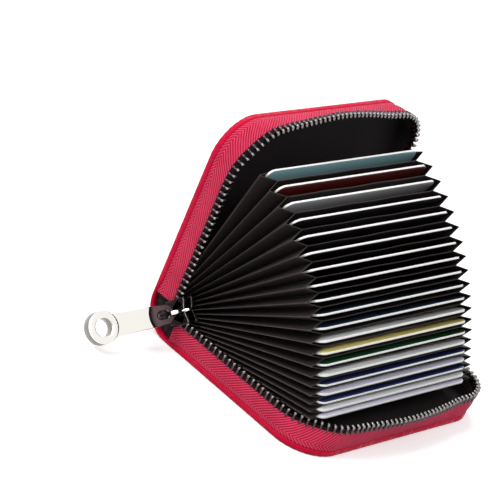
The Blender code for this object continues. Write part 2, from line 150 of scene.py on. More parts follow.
@dataclass(frozen=True)
class WalletSizes:
    """Sizes that several pieces share. Heights count from the hinge axis, as the covers lie closed."""

    axis_x: float
    axis_z: float
    opening: float
    front: float
    half_width: float
    leather: float
    lining_top: float
    tooth_top: float
    tape_line: float
    corner: float = 16.0 * MM

    @classmethod
    def from_frame(cls, tape_wall: float = 0.8 * MM) -> "WalletSizes":
        """Reads the sizes off the frame's lower cover and its hinge.

        Args:
            tape_wall: the thickness of the tape's solid.

        Returns:
            The sizes.
        """
        hinge = next(j for j in frame["joints"] if j["name"] == "cover_hinge")
        axis_x, _, axis_z = hinge["pos_m"]
        low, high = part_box("lower_leather")
        return cls(
            axis_x=axis_x,
            axis_z=axis_z,
            opening=-math.radians(hinge["range_deg"][0]),
            front=high.x - axis_x,
            half_width=high.y,
            leather=high.z - low.z,
            lining_top=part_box("lower_lining")[1].z - axis_z,
            tooth_top=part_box("lower_teeth")[1].z - axis_z,
            tape_line=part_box("lower_tape")[1].y - tape_wall / 2,
        )

    def cover(self, side: Side) -> Matrix:
        """The place of a cover at rest.

        Args:
            side: the cover.

        Returns:
            The place. The upper cover is the lower one turned over, so its way round starts at the far end.
        """
        place = Matrix.Translation((self.axis_x, 0.0, self.axis_z))
        if side is Side.LOWER:
            return place
        return place @ Matrix.Rotation(-self.opening, 4, "Y") @ Matrix.Rotation(math.pi, 4, "X")

    def hinge_angles(self, count: int) -> np.ndarray:
        """Angles about the hinge from the lower cover's hinge line to the upper's."""
        return np.linspace(1.5 * math.pi, math.pi / 2 + self.opening, count)

    def zip_end(self) -> Matrix:
        """The place of the slider's own frame at rest, half way between the covers."""
        place = Matrix.Translation((self.axis_x, 0.0, self.axis_z))
        return place @ Matrix.Rotation(-self.opening / 2, 4, "Y")


SIZES = WalletSizes.from_frame()


def linked(name: str, data: Any) -> Object:
    """Puts a new object with its data in the scene.

    Args:
        name: its name.
        data: its mesh, lamp or camera.

    Returns:
        The object.
    """
    obj = bpy.data.objects.new(name, data)
    bpy.context.scene.collection.objects.link(obj)
    return obj


def new_object(name: str, points: np.ndarray, faces: list, uv: np.ndarray | None = None) -> Object:
    """Makes a mesh object, its doubles merged and its faces outwards.

    Args:
        name: the piece's name.
        points: one row for each point.
        faces: the faces, as lists of point numbers.
        uv: one row for each point, in metres along the surface.

    Returns:
        The object, shaded smooth.
    """
    mesh = bpy.data.meshes.new(name)
    mesh.from_pydata(np.asarray(points, float).tolist(), [], faces)
    if uv is not None:
        layer = mesh.uv_layers.new(name="surface")
        index = np.zeros(len(mesh.loops), np.int32)
        mesh.loops.foreach_get("vertex_index", index)
        layer.data.foreach_set("uv", np.asarray(uv, np.float32)[index].ravel())
    model = bmesh.new()
    model.from_mesh(mesh)
    bmesh.ops.recalc_face_normals(model, faces=model.faces)
    model.to_mesh(mesh)
    model.free()
    mesh.shade_smooth()
    return linked(name, mesh)


def mark(obj: Object, name: str, values: np.ndarray) -> None:
    """Stores one number for each point of a piece, for its material to read."""
    layer = obj.data.attributes.new(name, "FLOAT", "POINT")
    layer.data.foreach_set("value", np.asarray(values, np.float32).ravel())


def quads(index: np.ndarray, closed: bool = False) -> list:
    """Four-sided faces between the rows of a grid of point numbers.

    Args:
        index: the grid of numbers.
        closed: whether the last column joins the first.

    Returns:
        The faces.
    """
    if closed:
        index = np.concatenate([index, index[:, :1]], axis=1)
    corners = (index[:-1, :-1], index[:-1, 1:], index[1:, 1:], index[1:, :-1])
    return np.stack(corners, axis=-1).reshape(-1, 4).tolist()


def swept(name: str, rings: np.ndarray, uv: np.ndarray | None = None) -> Object:
    """A closed solid through rings of points, with a face over each end.

    Args:
        name: the piece's name.
        rings: rings by points by three.
        uv: rings by points by two.

    Returns:
        The object.
    """
    count, size = rings.shape[:2]
    index = np.arange(count * size).reshape(count, size)
    faces = quads(index, closed=True) + [index[0].tolist(), index[-1].tolist()]
    flat_uv = None if uv is None else uv.reshape(-1, 2)
    return new_object(name, rings.reshape(-1, 3), faces, flat_uv)


def cloth(
    name: str, points: np.ndarray, half: np.ndarray | float, uv: np.ndarray | None = None
) -> Object:
    """A thin closed layer on both sides of a grid of points.

    Args:
        name: the piece's name.
        points: rows by columns by three.
        half: half the thickness, for all or for each point.
        uv: rows by columns by two.

    Returns:
        The object, whose first rows by columns points are one side and the rest the other.
    """
    rows, cols = points.shape[:2]
    normal = np.cross(np.gradient(points, axis=0), np.gradient(points, axis=1))
    normal /= np.linalg.norm(normal, axis=2, keepdims=True)
    offset = normal * np.broadcast_to(half, (rows, cols))[..., None]
    both = np.concatenate([points + offset, points - offset]).reshape(-1, 3)
    index = np.arange(rows * cols).reshape(rows, cols)
    under = index + rows * cols
    border = [*index[0], *index[1:, -1], *index[-1, -2::-1], *index[-2:0:-1, 0]]
    faces = quads(index) + quads(under[:, ::-1])
    for a, b in zip(border, border[1:] + border[:1]):
        faces.append([int(a), int(a + rows * cols), int(b + rows * cols), int(b)])
    both_uv = None if uv is None else np.concatenate([uv, uv]).reshape(-1, 2)
    return new_object(name, both, faces, both_uv)


def weld(obj: Object) -> None:
    """Merges points that meet, drops faces that fold flat, and turns the rest outwards.

    Args:
        obj: the piece.
    """
    model = bmesh.new()
    model.from_mesh(obj.data)
    bmesh.ops.remove_doubles(model, verts=model.verts, dist=0.001 * MM)
    bmesh.ops.recalc_face_normals(model, faces=model.faces)
    model.to_mesh(obj.data)
    model.free()
    obj.data.shade_smooth()


def bake(obj: Object) -> None:
    """Applies a piece's modifiers and leaves it a plain mesh.

    Args:
        obj: the piece.
    """
    graph = bpy.context.evaluated_depsgraph_get()
    graph.update()
    mesh = bpy.data.meshes.new_from_object(obj.evaluated_get(graph))
    obj.modifiers.clear()
    obj.data = mesh


def placed(obj: Object, place: Matrix) -> Object:
    """Moves a piece's points, and leaves its object at the origin."""
    obj.data.transform(place)
    return obj


def merged(name: str, pieces: list) -> Object:
    """Joins closed shapes into one piece.

    Args:
        name: the piece's name.
        pieces: the shapes, which are used up.

    Returns:
        The piece.
    """
    model = bmesh.new()
    for piece in pieces:
        model.from_mesh(piece.data)
        bpy.data.objects.remove(piece)
    mesh = bpy.data.meshes.new(name)
    model.to_mesh(mesh)
    model.free()
    mesh.shade_smooth()
    return linked(name, mesh)


def tone(obj: Object, choose: Callable) -> Object:
    """Gives each face a material slot.

    Args:
        obj: the piece.
        choose: gives the coat for a face's centre and normal.

    Returns:
        The same piece.
    """
    for face in obj.data.polygons:
        face.material_index = choose(face.center, face.normal).value
    return obj


def dress(obj: Object, finish: Any, body: str | None, slot: str, *nodes: str) -> None:
    """Gives a finished piece its material, its body and the nodes that it stands for.

    Args:
        obj: the piece.
        finish: its finish, or a list of them in the order of its faces' slots.
        body: the body that it rides on, or None, where it is left unattached.
        slot: the record's material slot; not used.
        nodes: the CAD nodes that it replaces.
    """
    if not obj.data.materials:
        for each in finish if isinstance(finish, list) else [finish]:
            obj.data.materials.append(each.material())
    if body is not None:
        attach(obj, body)
    if nodes:
        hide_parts(*nodes)
    log.info("%s: %d faces", obj.name, len(obj.data.polygons))


@dataclass(frozen=True)
class Finish:
    """A material, named for what the real one is."""

    name: str

    def material(self) -> Material:
        """Builds the material, or finds it where it is already built.

        Returns:
            The material.
        """
        found = bpy.data.materials.get(self.name)
        if found is None:
            found = bpy.data.materials.new(self.name)
            found.use_nodes = True
            self.dress(found.node_tree, found.node_tree.nodes["Principled BSDF"])
        return found

    def dress(self, tree: NodeTree, shader: Node) -> None:
        """Adds the pattern's nodes to the tree."""
        raise NotImplementedError


# A Wave Texture whose scale is this over a thread's spacing repeats at about every second thread, as a
# plain weave does.
WEAVE = 0.16


@dataclass(frozen=True)
class PebbledLeather(Finish):
    """Drum-tumbled cowhide with a pigment coat: soft round pebbles parted by creases with painted shade, under a
    satin glaze. The piece's attribute grain is 1 where the pebbles stand full and 0 where the hide is stretched
    smooth, and its attribute seam is 1 in the stitched groove, which has painted shade. Widths are shares of a
    pebble, and heights are shares of the relief."""

    crown: str = "#CC123A"
    # The crease and groove colours are painted shade: in the creases between the pebbles and in the stitched
    # groove.
    crease: str = "#8A0A2A"
    groove: str = "#6E0620"
    glaze: str = "#FF6480"
    pebble: float = 2.9 * MM
    relief: float = 0.95 * MM
    warp: float = 1.1
    warps_per_pebble: float = 0.7
    dome_width: float = 0.42
    crease_width: float = 0.12
    small_pebble: float = 0.56
    small_width: float = 0.30
    small_height: float = 0.30
    pores_per_pebble: float = 9.0
    pore_height: float = 0.08
    patches_per_metre: float = 45.0
    patch_tint: float = 0.30
    crown_tint: float = 0.50
    crease_shade_share: float = 0.34
    smooth_tint: float = 0.8
    crease_roughness: float = 0.60
    crown_roughness: float = 0.30

    def creases(self, tree: NodeTree, spot: Node, size: float, width: float) -> Node:
        """Adds a net of creases.

        Args:
            tree: the material's tree.
            spot: the place that the net is read at.
            size: the size of one pebble.
            width: the creases' width, as a share of a pebble.

        Returns:
            The node that gives 0 in a crease and 1 on a crown.
        """
        cells = {"Vector": spot, "Scale": 1 / size}
        net = add(tree, "ShaderNodeTexVoronoi", cells, feature="DISTANCE_TO_EDGE")
        ends = {"Value": net.outputs["Distance"], "From Max": width}
        return add(tree, "ShaderNodeMapRange", ends, interpolation_type="SMOOTHERSTEP")

    def dress(self, tree: NodeTree, shader: Node) -> None:
        """Adds the pebbles, the pores and the slow change of colour.

        Args:
            tree: the material's tree.
            shader: its Principled BSDF.
        """
        where = add(tree, "ShaderNodeTexCoord").outputs["Object"]
        grain = add(tree, "ShaderNodeAttribute", attribute_name="grain").outputs["Fac"]
        seam = add(tree, "ShaderNodeAttribute", attribute_name="seam").outputs["Fac"]
        waves = {"Vector": where, "Scale": self.warps_per_pebble / self.pebble, "Detail": 2.0}
        push = add(tree, "ShaderNodeTexNoise", waves).outputs["Color"]
        push = add(tree, "ShaderNodeVectorMath", {0: push, 1: (0.5, 0.5, 0.5)}, operation="SUBTRACT")
        push = {0: push, "Scale": self.warp * self.pebble}
        push = add(tree, "ShaderNodeVectorMath", push, operation="SCALE")
        spot = add(tree, "ShaderNodeVectorMath", {0: where, 1: push}, operation="ADD")
        dome = self.creases(tree, spot, self.pebble, self.dome_width)
        small = self.creases(tree, spot, self.small_pebble * self.pebble, self.small_width)
        line = self.creases(tree, spot, self.pebble, self.crease_width)
        both = {0: small, 1: self.small_height, 2: dome}
        both = add(tree, "ShaderNodeMath", both, operation="MULTIPLY_ADD")
        dots = {"Vector": where, "Scale": self.pores_per_pebble / self.pebble, "Detail": 3.0}
        pores = add(tree, "ShaderNodeTexNoise", dots)
        fine = {0: pores, 1: self.pore_height, 2: both}
        fine = add(tree, "ShaderNodeMath", fine, operation="MULTIPLY_ADD")
        raised = add(tree, "ShaderNodeMath", {0: fine, 1: grain}, operation="MULTIPLY")
        bump = add(tree, "ShaderNodeBump", {"Height": raised, "Distance": self.relief, "Strength": 1.0})
        patch = {"Vector": where, "Scale": self.patches_per_metre, "Detail": 2.0}
        patch = add(tree, "ShaderNodeTexNoise", patch)
        lit = {0: line, 1: self.crown_tint, 2: self.crease_shade_share}
        lit = add(tree, "ShaderNodeMath", lit, operation="MULTIPLY_ADD")
        lit = {0: patch, 1: self.patch_tint, 2: lit}
        lit = add(tree, "ShaderNodeMath", lit, operation="MULTIPLY_ADD", use_clamp=True)
        lit = add(tree, "ShaderNodeMix", {0: grain, 2: self.smooth_tint, 3: lit}, data_type="FLOAT")
        # Painted shade in the creases.
        hide = {0: lit, 6: linear(self.crease), 7: linear(self.crown)}
        hide = add(tree, "ShaderNodeMix", hide, data_type="RGBA").outputs[2]
        # Painted shade in the stitched groove.
        sewn = add(tree, "ShaderNodeMix", {0: seam, 6: hide, 7: linear(self.groove)}, data_type="RGBA")
        ends = {"Value": dome, "To Min": self.crease_roughness, "To Max": self.crown_roughness}
        gloss = add(tree, "ShaderNodeMapRange", ends)
        feed(shader, {"Base Color": sewn.outputs[2], "Roughness": gloss, "Normal": bump})
        feed(shader, {"IOR": 1.4, "Specular Tint": linear(self.glaze)})


@dataclass(frozen=True)
class HerringboneTape(Finish):
    """Woven polyester zip tape: diagonal ribs that turn back on themselves in bands, with a soft sheen, a painted
    highlight on the ribs and painted shade in the grooves between them, and painted near-black shade under the
    teeth."""

    # The rib colour is a painted highlight on the ribs, the groove colour is painted shade between them, and the
    # near-black colour is painted shade under the teeth.
    rib: str = "#F04A68"
    groove: str = "#A8103A"
    nap: str = "#FF8FA8"
    shade_under_teeth: str = "#0E0A0B"
    shade_under_teeth_from: float = 7.7 * MM
    shade_under_teeth_blend: float = 0.2 * MM
    pitch: float = 1.35 * MM
    band: float = 6.2 * MM
    first_band: float = 2.9 * MM
    slope: float = 1.3
    relief: float = 0.20 * MM
    sway: float = 0.35 * MM
    sways_per_metre: float = 220.0
    yarns_per_rib: float = 2.5
    yarn_height: float = 0.16
    fades_per_metre: float = 90.0
    fade: float = 0.5
    fade_from: float = -0.2
    rib_highlight_share: float = 0.85

    def dress(self, tree: NodeTree, shader: Node) -> None:
        """Adds the ribs and the yarns that cross them. The piece's UV is in metres.

        Args:
            tree: the material's tree.
            shader: its Principled BSDF.
        """
        where = add(tree, "ShaderNodeUVMap", uv_map="surface")
        wobble = {"Vector": where, "Scale": self.sways_per_metre, "Detail": 1.0}
        sway = add(tree, "ShaderNodeTexNoise", wobble).outputs["Color"]
        sway = add(tree, "ShaderNodeVectorMath", {0: sway, "Scale": self.sway}, operation="SCALE")
        spot = add(tree, "ShaderNodeVectorMath", {0: where, 1: sway}, operation="ADD")
        along, up, _ = add(tree, "ShaderNodeSeparateXYZ", {0: spot}).outputs
        rise = add(tree, "ShaderNodeMath", {0: up, 1: self.band - self.first_band}, operation="ADD")
        fold = add(tree, "ShaderNodeMath", {0: rise, 1: self.band}, operation="PINGPONG")
        waves = []
        for slope, count in ((self.slope, 1.0), (-self.slope, self.yarns_per_rib)):
            slant = add(tree, "ShaderNodeMath", {0: fold, 1: slope, 2: along}, operation="MULTIPLY_ADD")
            turn = {0: slant, 1: count * TURN / self.pitch}
            turn = add(tree, "ShaderNodeMath", turn, operation="MULTIPLY")
            waves.append(add(tree, "ShaderNodeMath", {0: turn}, operation="SINE"))
        ends = {"Value": waves[0], "From Min": -1.0}
        rib = add(tree, "ShaderNodeMapRange", ends, interpolation_type="SMOOTHSTEP")
        height = {0: waves[1], 1: self.yarn_height, 2: rib}
        height = add(tree, "ShaderNodeMath", height, operation="MULTIPLY_ADD")
        bump = add(tree, "ShaderNodeBump", {"Height": height, "Distance": self.relief, "Strength": 0.9})
        fade = {"Vector": where, "Scale": self.fades_per_metre, "Detail": 3.0}
        fade = {0: add(tree, "ShaderNodeTexNoise", fade), 1: self.fade, 2: self.fade_from}
        fade = add(tree, "ShaderNodeMath", fade, operation="MULTIPLY_ADD")
        share = {0: rib, 1: self.rib_highlight_share, 2: fade}
        share = add(tree, "ShaderNodeMath", share, operation="MULTIPLY_ADD", use_clamp=True)
        # Painted highlight on the ribs and painted shade in the grooves.
        rib_highlight_and_shade = {0: share, 6: linear(self.groove), 7: linear(self.rib)}
        rib_highlight_and_shade = add(tree, "ShaderNodeMix", rib_highlight_and_shade, data_type="RGBA").outputs[2]
        # Painted shade under the teeth: near black along the top of the tape.
        level = add(tree, "ShaderNodeSeparateXYZ", {0: where}).outputs[1]
        ends = {"Value": level, "From Min": self.shade_under_teeth_from, "From Max": self.shade_under_teeth_from + self.shade_under_teeth_blend}
        shade_under_teeth = add(tree, "ShaderNodeMapRange", ends)
        whole = add(tree, "ShaderNodeMix", {0: shade_under_teeth, 6: rib_highlight_and_shade, 7: linear(self.shade_under_teeth)}, data_type="RGBA")
        feed(shader, {"Base Color": whole.outputs[2], "Roughness": 0.7, "Normal": bump, "IOR": 1.3})
        feed(shader, {"Specular IOR Level": 0.2, "Sheen Weight": 0.35, "Sheen Roughness": 0.4})
        feed(shader, {"Sheen Tint": linear(self.nap)})


@dataclass(frozen=True)
class FoldedCloth(Finish):
    """Polyurethane-coated polyester of the pockets: near black with a brown cast, a faint satin gloss, and a paler
    painted highlight along its folds and hems. The piece's attribute fold is 1 on a fold or a hem."""

    cloth: str = "#221B1B"
    fold_highlight: str = "#4C4240"
    thread: float = 0.55 * MM
    relief: float = 0.03 * MM
    mottles_per_metre: float = 260.0
    least_highlight: float = 0.6
    most_highlight: float = 1.15

    def dress(self, tree: NodeTree, shader: Node) -> None:
        """Adds the fine weave and the painted highlight on the folds.

        Args:
            tree: the material's tree.
            shader: its Principled BSDF.
        """
        where = add(tree, "ShaderNodeTexCoord").outputs["Object"]
        fold = add(tree, "ShaderNodeAttribute", attribute_name="fold").outputs["Fac"]
        mottle = {"Vector": where, "Scale": self.mottles_per_metre, "Detail": 3.0}
        mottle = add(tree, "ShaderNodeTexNoise", mottle)
        ends = {"Value": mottle, "To Min": self.least_highlight, "To Max": self.most_highlight}
        highlight_mottle = add(tree, "ShaderNodeMapRange", ends)
        share = add(tree, "ShaderNodeMath", {0: fold, 1: highlight_mottle}, operation="MULTIPLY", use_clamp=True)
        tint = {0: share, 6: linear(self.cloth), 7: linear(self.fold_highlight)}
        tint = add(tree, "ShaderNodeMix", tint, data_type="RGBA")
        waves = {"Vector": where, "Scale": WEAVE / self.thread, "Distortion": 0.4}
        weave = add(tree, "ShaderNodeTexWave", waves)
        bump = add(tree, "ShaderNodeBump", {"Height": weave, "Distance": self.relief, "Strength": 0.5})
        feed(shader, {"Base Color": tint.outputs[2], "Roughness": 0.7, "Normal": bump, "IOR": 1.35})


@dataclass(frozen=True)
class LiningCloth(Finish):
    """Black nylon lining, plain woven: fine threads both ways and a dull face."""

    cloth: str = "#141011"
    faded: str = "#1F1919"
    thread: float = 0.7 * MM
    relief: float = 0.05 * MM
    patches_per_metre: float = 60.0

    def dress(self, tree: NodeTree, shader: Node) -> None:
        """Adds the plain weave. Its thread spacing is coarser than the real 0.2 mm, so that it shows.

        Args:
            tree: the material's tree.
            shader: its Principled BSDF.
        """
        where = add(tree, "ShaderNodeTexCoord").outputs["Object"]
        waves = {"Vector": where, "Scale": WEAVE / self.thread}
        threads = [add(tree, "ShaderNodeTexWave", waves, bands_direction=way) for way in ("X", "Y", "Z")]
        height = add(tree, "ShaderNodeMath", {0: threads[0], 1: threads[1]}, operation="ADD")
        height = add(tree, "ShaderNodeMath", {0: height, 1: threads[2]}, operation="ADD")
        bump = add(tree, "ShaderNodeBump", {"Height": height, "Distance": self.relief, "Strength": 0.4})
        patch = {"Vector": where, "Scale": self.patches_per_metre, "Detail": 3.0}
        patch = add(tree, "ShaderNodeTexNoise", patch)
        tint = {0: patch, 6: linear(self.cloth), 7: linear(self.faded)}
        tint = add(tree, "ShaderNodeMix", tint, data_type="RGBA")
        feed(shader, {"Base Color": tint.outputs[2], "Roughness": 0.8, "Normal": bump, "IOR": 1.3})


@dataclass(frozen=True)
class PlatedMetal(Finish):
    """A cast zinc or drawn brass part with a plated coat: mirror-like, with fine rubbing marks."""

    plate: str = "#D9D9DC"
    roughness: float = 0.09
    mark_depth: float = 0.02 * MM
    marks_per_metre: float = 700.0

    def dress(self, tree: NodeTree, shader: Node) -> None:
        """Adds the marks and a slow change of gloss.

        Args:
            tree: the material's tree.
            shader: its Principled BSDF.
        """
        where = add(tree, "ShaderNodeTexCoord").outputs["Object"]
        grain = {"Vector": where, "Scale": self.marks_per_metre, "Detail": 4.0}
        grain = add(tree, "ShaderNodeTexNoise", grain)
        bump = add(tree, "ShaderNodeBump", {"Height": grain, "Distance": self.mark_depth, "Strength": 0.15})
        low, high = 0.75 * self.roughness, 1.5 * self.roughness
        gloss = add(tree, "ShaderNodeMapRange", {"Value": grain, "To Min": low, "To Max": high})
        feed(shader, {"Base Color": linear(self.plate), "Metallic": 1.0})
        feed(shader, {"Roughness": gloss, "Normal": bump})


@dataclass(frozen=True)
class ToothMetal(PlatedMetal):
    """Nickelled brass of the teeth: the plate's colour on the crowns, and painted shade down the legs, between the
    teeth. The piece's attribute crown is 1 on a crown."""

    leg_shade: str = "#4E4347"

    def dress(self, tree: NodeTree, shader: Node) -> None:
        """Adds the painted shade on the legs, which gives way to the plate's colour on the crowns.

        Args:
            tree: the material's tree.
            shader: its Principled BSDF.
        """
        super().dress(tree, shader)
        crown = add(tree, "ShaderNodeAttribute", attribute_name="crown").outputs["Fac"]
        tint = {0: crown, 6: linear(self.leg_shade), 7: linear(self.plate)}
        feed(shader, {"Base Color": add(tree, "ShaderNodeMix", tint, data_type="RGBA").outputs[2]})


@dataclass(frozen=True)
class CardPlastic(Finish):
    """Laminated PVC: white core at the edge, a printed ground with a clear glossy film on the faces."""

    ground: str = "#FFFFFF"
    film: bool = True
    mottles_per_metre: float = 900.0
    relief: float = 0.004 * MM
    shade: float = 0.9

    def dress(self, tree: NodeTree, shader: Node) -> None:
        """Adds a faint mottle to the ground, and the film.

        Args:
            tree: the material's tree.
            shader: its Principled BSDF.
        """
        where = add(tree, "ShaderNodeTexCoord").outputs["Object"]
        mottle = {"Vector": where, "Scale": self.mottles_per_metre, "Detail": 2.0}
        mottle = add(tree, "ShaderNodeTexNoise", mottle)
        dark = tuple(self.shade * c for c in linear(self.ground)[:3]) + (1.0,)
        tint = add(tree, "ShaderNodeMix", {0: mottle, 6: dark, 7: linear(self.ground)}, data_type="RGBA")
        bump = add(tree, "ShaderNodeBump", {"Height": mottle, "Distance": self.relief, "Strength": 0.3})
        feed(shader, {"Base Color": tint.outputs[2], "Normal": bump, "IOR": 1.54, "Coat Roughness": 0.12})
        roughness, coat = (0.32, 0.5) if self.film else (0.5, 0.0)
        feed(shader, {"Roughness": roughness, "Coat Weight": coat})


@dataclass(frozen=True)
class WaxedThread(Finish):
    """Bonded nylon sewing thread, waxed: twisted strands with a small gloss."""

    strand: str = "#F0587C"
    between: str = "#B01C3E"
    twist_scale: float = 520.0
    relief: float = 0.05 * MM

    def dress(self, tree: NodeTree, shader: Node) -> None:
        """Adds the twist.

        Args:
            tree: the material's tree.
            shader: its Principled BSDF.
        """
        where = add(tree, "ShaderNodeTexCoord").outputs["Object"]
        waves = {"Vector": where, "Scale": self.twist_scale, "Distortion": 1.5}
        twist = add(tree, "ShaderNodeTexWave", waves, bands_direction="DIAGONAL")
        bump = add(tree, "ShaderNodeBump", {"Height": twist, "Distance": self.relief, "Strength": 0.6})
        tint = {0: twist, 6: linear(self.between), 7: linear(self.strand)}
        tint = add(tree, "ShaderNodeMix", tint, data_type="RGBA")
        feed(shader, {"Base Color": tint.outputs[2], "Roughness": 0.45, "Normal": bump})


@dataclass(frozen=True)
class Greyboard(Finish):
    """Pressed paper board of the covers: grey, matt, with short fibres."""

    pulp: str = "#9A958C"
    fleck: str = "#6F6A62"
    fibres_per_metre: float = 1500.0

    def dress(self, tree: NodeTree, shader: Node) -> None:
        """Adds the fibres.

        Args:
            tree: the material's tree.
            shader: its Principled BSDF.
        """
        where = add(tree, "ShaderNodeTexCoord").outputs["Object"]
        fibre = {"Vector": where, "Scale": self.fibres_per_metre, "Detail": 5.0}
        fibre = add(tree, "ShaderNodeTexNoise", fibre)
        tint = {0: fibre, 6: linear(self.fleck), 7: linear(self.pulp)}
        tint = add(tree, "ShaderNodeMix", tint, data_type="RGBA")
        feed(shader, {"Base Color": tint.outputs[2], "Roughness": 0.9})


LEATHER = PebbledLeather("crimson_pebbled_cowhide")
TAPE = HerringboneTape("crimson_herringbone_tape")
POCKET_CLOTH = FoldedCloth("black_coated_pocket_cloth")
LINING = LiningCloth("black_nylon_lining")
THREAD = WaxedThread("crimson_bonded_thread")
BOARD = Greyboard("greyboard")
TOOTH_METAL = ToothMetal("nickelled_brass_teeth", plate="#827E7D", roughness=0.22)
STOP_METAL = PlatedMetal("nickelled_brass", plate="#8D8B90", roughness=0.2)
CHROME = PlatedMetal("polished_chrome_zinc", plate="#F6F3EC", roughness=0.07)
# The next two finishes are copies of the polished chrome with painted shade: on the sides of the pull and the
# ring, and in the pull's scoop.
SATIN = PlatedMetal("satin_chrome_edge", plate="#807E7C", roughness=0.26)
SCOOP_SHADE = PlatedMetal("smoked_chrome", plate="#6A5458", roughness=0.16)
# The slider's darker copy of the polished chrome: a painted dark reflection on its plate faces, and painted shade
# on its lips and the rear of its bridge.
SHADED_CHROME = PlatedMetal("black_nickel_plate", plate="#1D181A", roughness=0.22)
CARD_CORE = CardPlastic("white_card_core", ground="#FAFAF8", film=False)


@dataclass(frozen=True)
class Rim:
    """The way round three sides of a cover, from one end of the zip to the other.

    start is where the way leaves the hinge side, and inset is how far it lies inside the cover's edge.
    """

    start: float
    inset: float

    @property
    def straight(self) -> float:
        """Length of each side's straight run."""
        return SIZES.front - SIZES.corner - self.start

    @property
    def quarter(self) -> float:
        """Length of each corner."""
        return (SIZES.corner - self.inset) * math.pi / 2

    @property
    def length(self) -> float:
        """Length of the whole way."""
        return 2 * (self.straight + self.quarter + SIZES.half_width - SIZES.corner)

    def steps(self, step: float) -> np.ndarray:
        """Places along the whole way, about a step apart."""
        return np.linspace(0.0, self.length, round(self.length / step) + 1)

    def at(self, distance: np.ndarray) -> tuple[np.ndarray, np.ndarray]:
        """Points on the way, and which way is outwards there.

        Args:
            distance: how far along the way each point is.

        Returns:
            The points and the outward directions, two columns each.
        """
        distance = np.asarray(distance, float)
        mirrored = distance > self.length / 2
        along = np.where(mirrored, self.length - distance, distance)
        radius = SIZES.corner - self.inset
        turned = np.clip((along - self.straight) / radius, 0.0, math.pi / 2)
        out = np.stack([np.sin(turned), -np.cos(turned)], axis=-1)
        centre = np.array([SIZES.front - SIZES.corner, SIZES.corner - SIZES.half_width])
        point = centre + radius * out
        point[..., 0] += np.minimum(along - self.straight, 0.0)
        point[..., 1] += np.maximum(along - self.straight - self.quarter, 0.0)
        flip = np.where(mirrored, -1.0, 1.0)
        point[..., 1] *= flip
        out[..., 1] *= flip
        return point, out

    def corner_share(self, distance: np.ndarray, spread: float = 1.25) -> np.ndarray:
        """How near places are to the middle of a corner.

        Args:
            distance: the places on the way.
            spread: how far the share reaches to each side, in corner lengths.

        Returns:
            1 in the middle, falling to 0 a little past the corner's ends.
        """
        along = np.minimum(distance, self.length - distance)
        middle = self.straight + self.quarter / 2
        return np.clip(spread - np.abs(along - middle) / self.quarter, 0.0, 1.0) ** 2


@dataclass(frozen=True)
class ToothLine:
    """How the open row of teeth strays from the edge below it. The chain is stiffer than the tape, so it
    cuts the corner by the slider, and the tape leans out along the front and at the far end. The rows
    sink where the slider's wedge parts them, and the lower one where the lowest card slides over it."""

    near_cut: float = 3.0 * MM
    near_dip: float = 0.72 * MM
    far_flare: float = 1.0 * MM
    reach: float = 18.5 * MM
    front_bulge: float = 3.6 * MM
    side_bulge: float = 1.4 * MM
    parting: float = 0.22 * MM
    parted: float = 12.0 * MM

    def nearness(self, along: np.ndarray, place: float) -> np.ndarray:
        """1 at a place on the way, falling to 0 at the reach on both sides."""
        return np.cos(np.clip((along - place) / self.reach, -1.0, 1.0) * math.pi / 2)

    def stray(self, rim: Rim, distance: np.ndarray, side: Side) -> np.ndarray:
        """How far outwards the top of the tape strays.

        Args:
            rim: the way round the edge.
            distance: places on the way.
            side: the cover, as the upper one's way starts at the far end.

        Returns:
            The distances, negative inwards.
        """
        along = distance if side is Side.LOWER else rim.length - distance
        near = rim.straight + rim.quarter / 2
        far = rim.length - near
        front = np.sin(math.pi * np.clip((along - near) / (far - near), 0.0, 1.0)) ** 2
        behind = np.sin(math.pi * np.clip((rim.length - along) / near, 0.0, 1.0)) ** 2
        behind = np.where(along > far, behind, 0.0)
        stray = self.far_flare * self.nearness(along, far) ** 2
        stray = stray - self.near_cut * self.nearness(along, near) ** 2
        return stray + self.front_bulge * front + self.side_bulge * behind

    def dip(self, rim: Rim, distance: np.ndarray, side: Side) -> np.ndarray:
        """How far a row sinks.

        Args:
            rim: the way round the edge.
            distance: places on the way.
            side: the cover.

        Returns:
            The depths.
        """
        along = distance if side is Side.LOWER else rim.length - distance
        sunk = self.parting * np.clip(1.0 - along / self.parted, 0.0, 1.0)
        if side is Side.UPPER:
            return sunk
        near = rim.straight + rim.quarter / 2
        return sunk + self.near_dip * self.nearness(along, near)


@dataclass(frozen=True)
class EdgeRoll:
    """The padded roll of leather that each cover's edge is turned over, on which the tape is sewn."""

    height: float = 2.5 * MM
    run_in: float = 8.0 * MM

    def share(self, rim: Rim, distance: np.ndarray) -> np.ndarray:
        """How much of its full height the roll has.

        Args:
            rim: the way round the edge.
            distance: places on the way.

        Returns:
            The shares, which grow from nothing at the hinge line.
        """
        from_hinge = np.minimum(distance, rim.length - distance) + rim.start
        grown = np.clip(from_hinge / self.run_in, 0.0, 1.0)
        return grown * grown * (3 - 2 * grown)


TOOTH_LINE = ToothLine()
EDGE_ROLL = EdgeRoll()


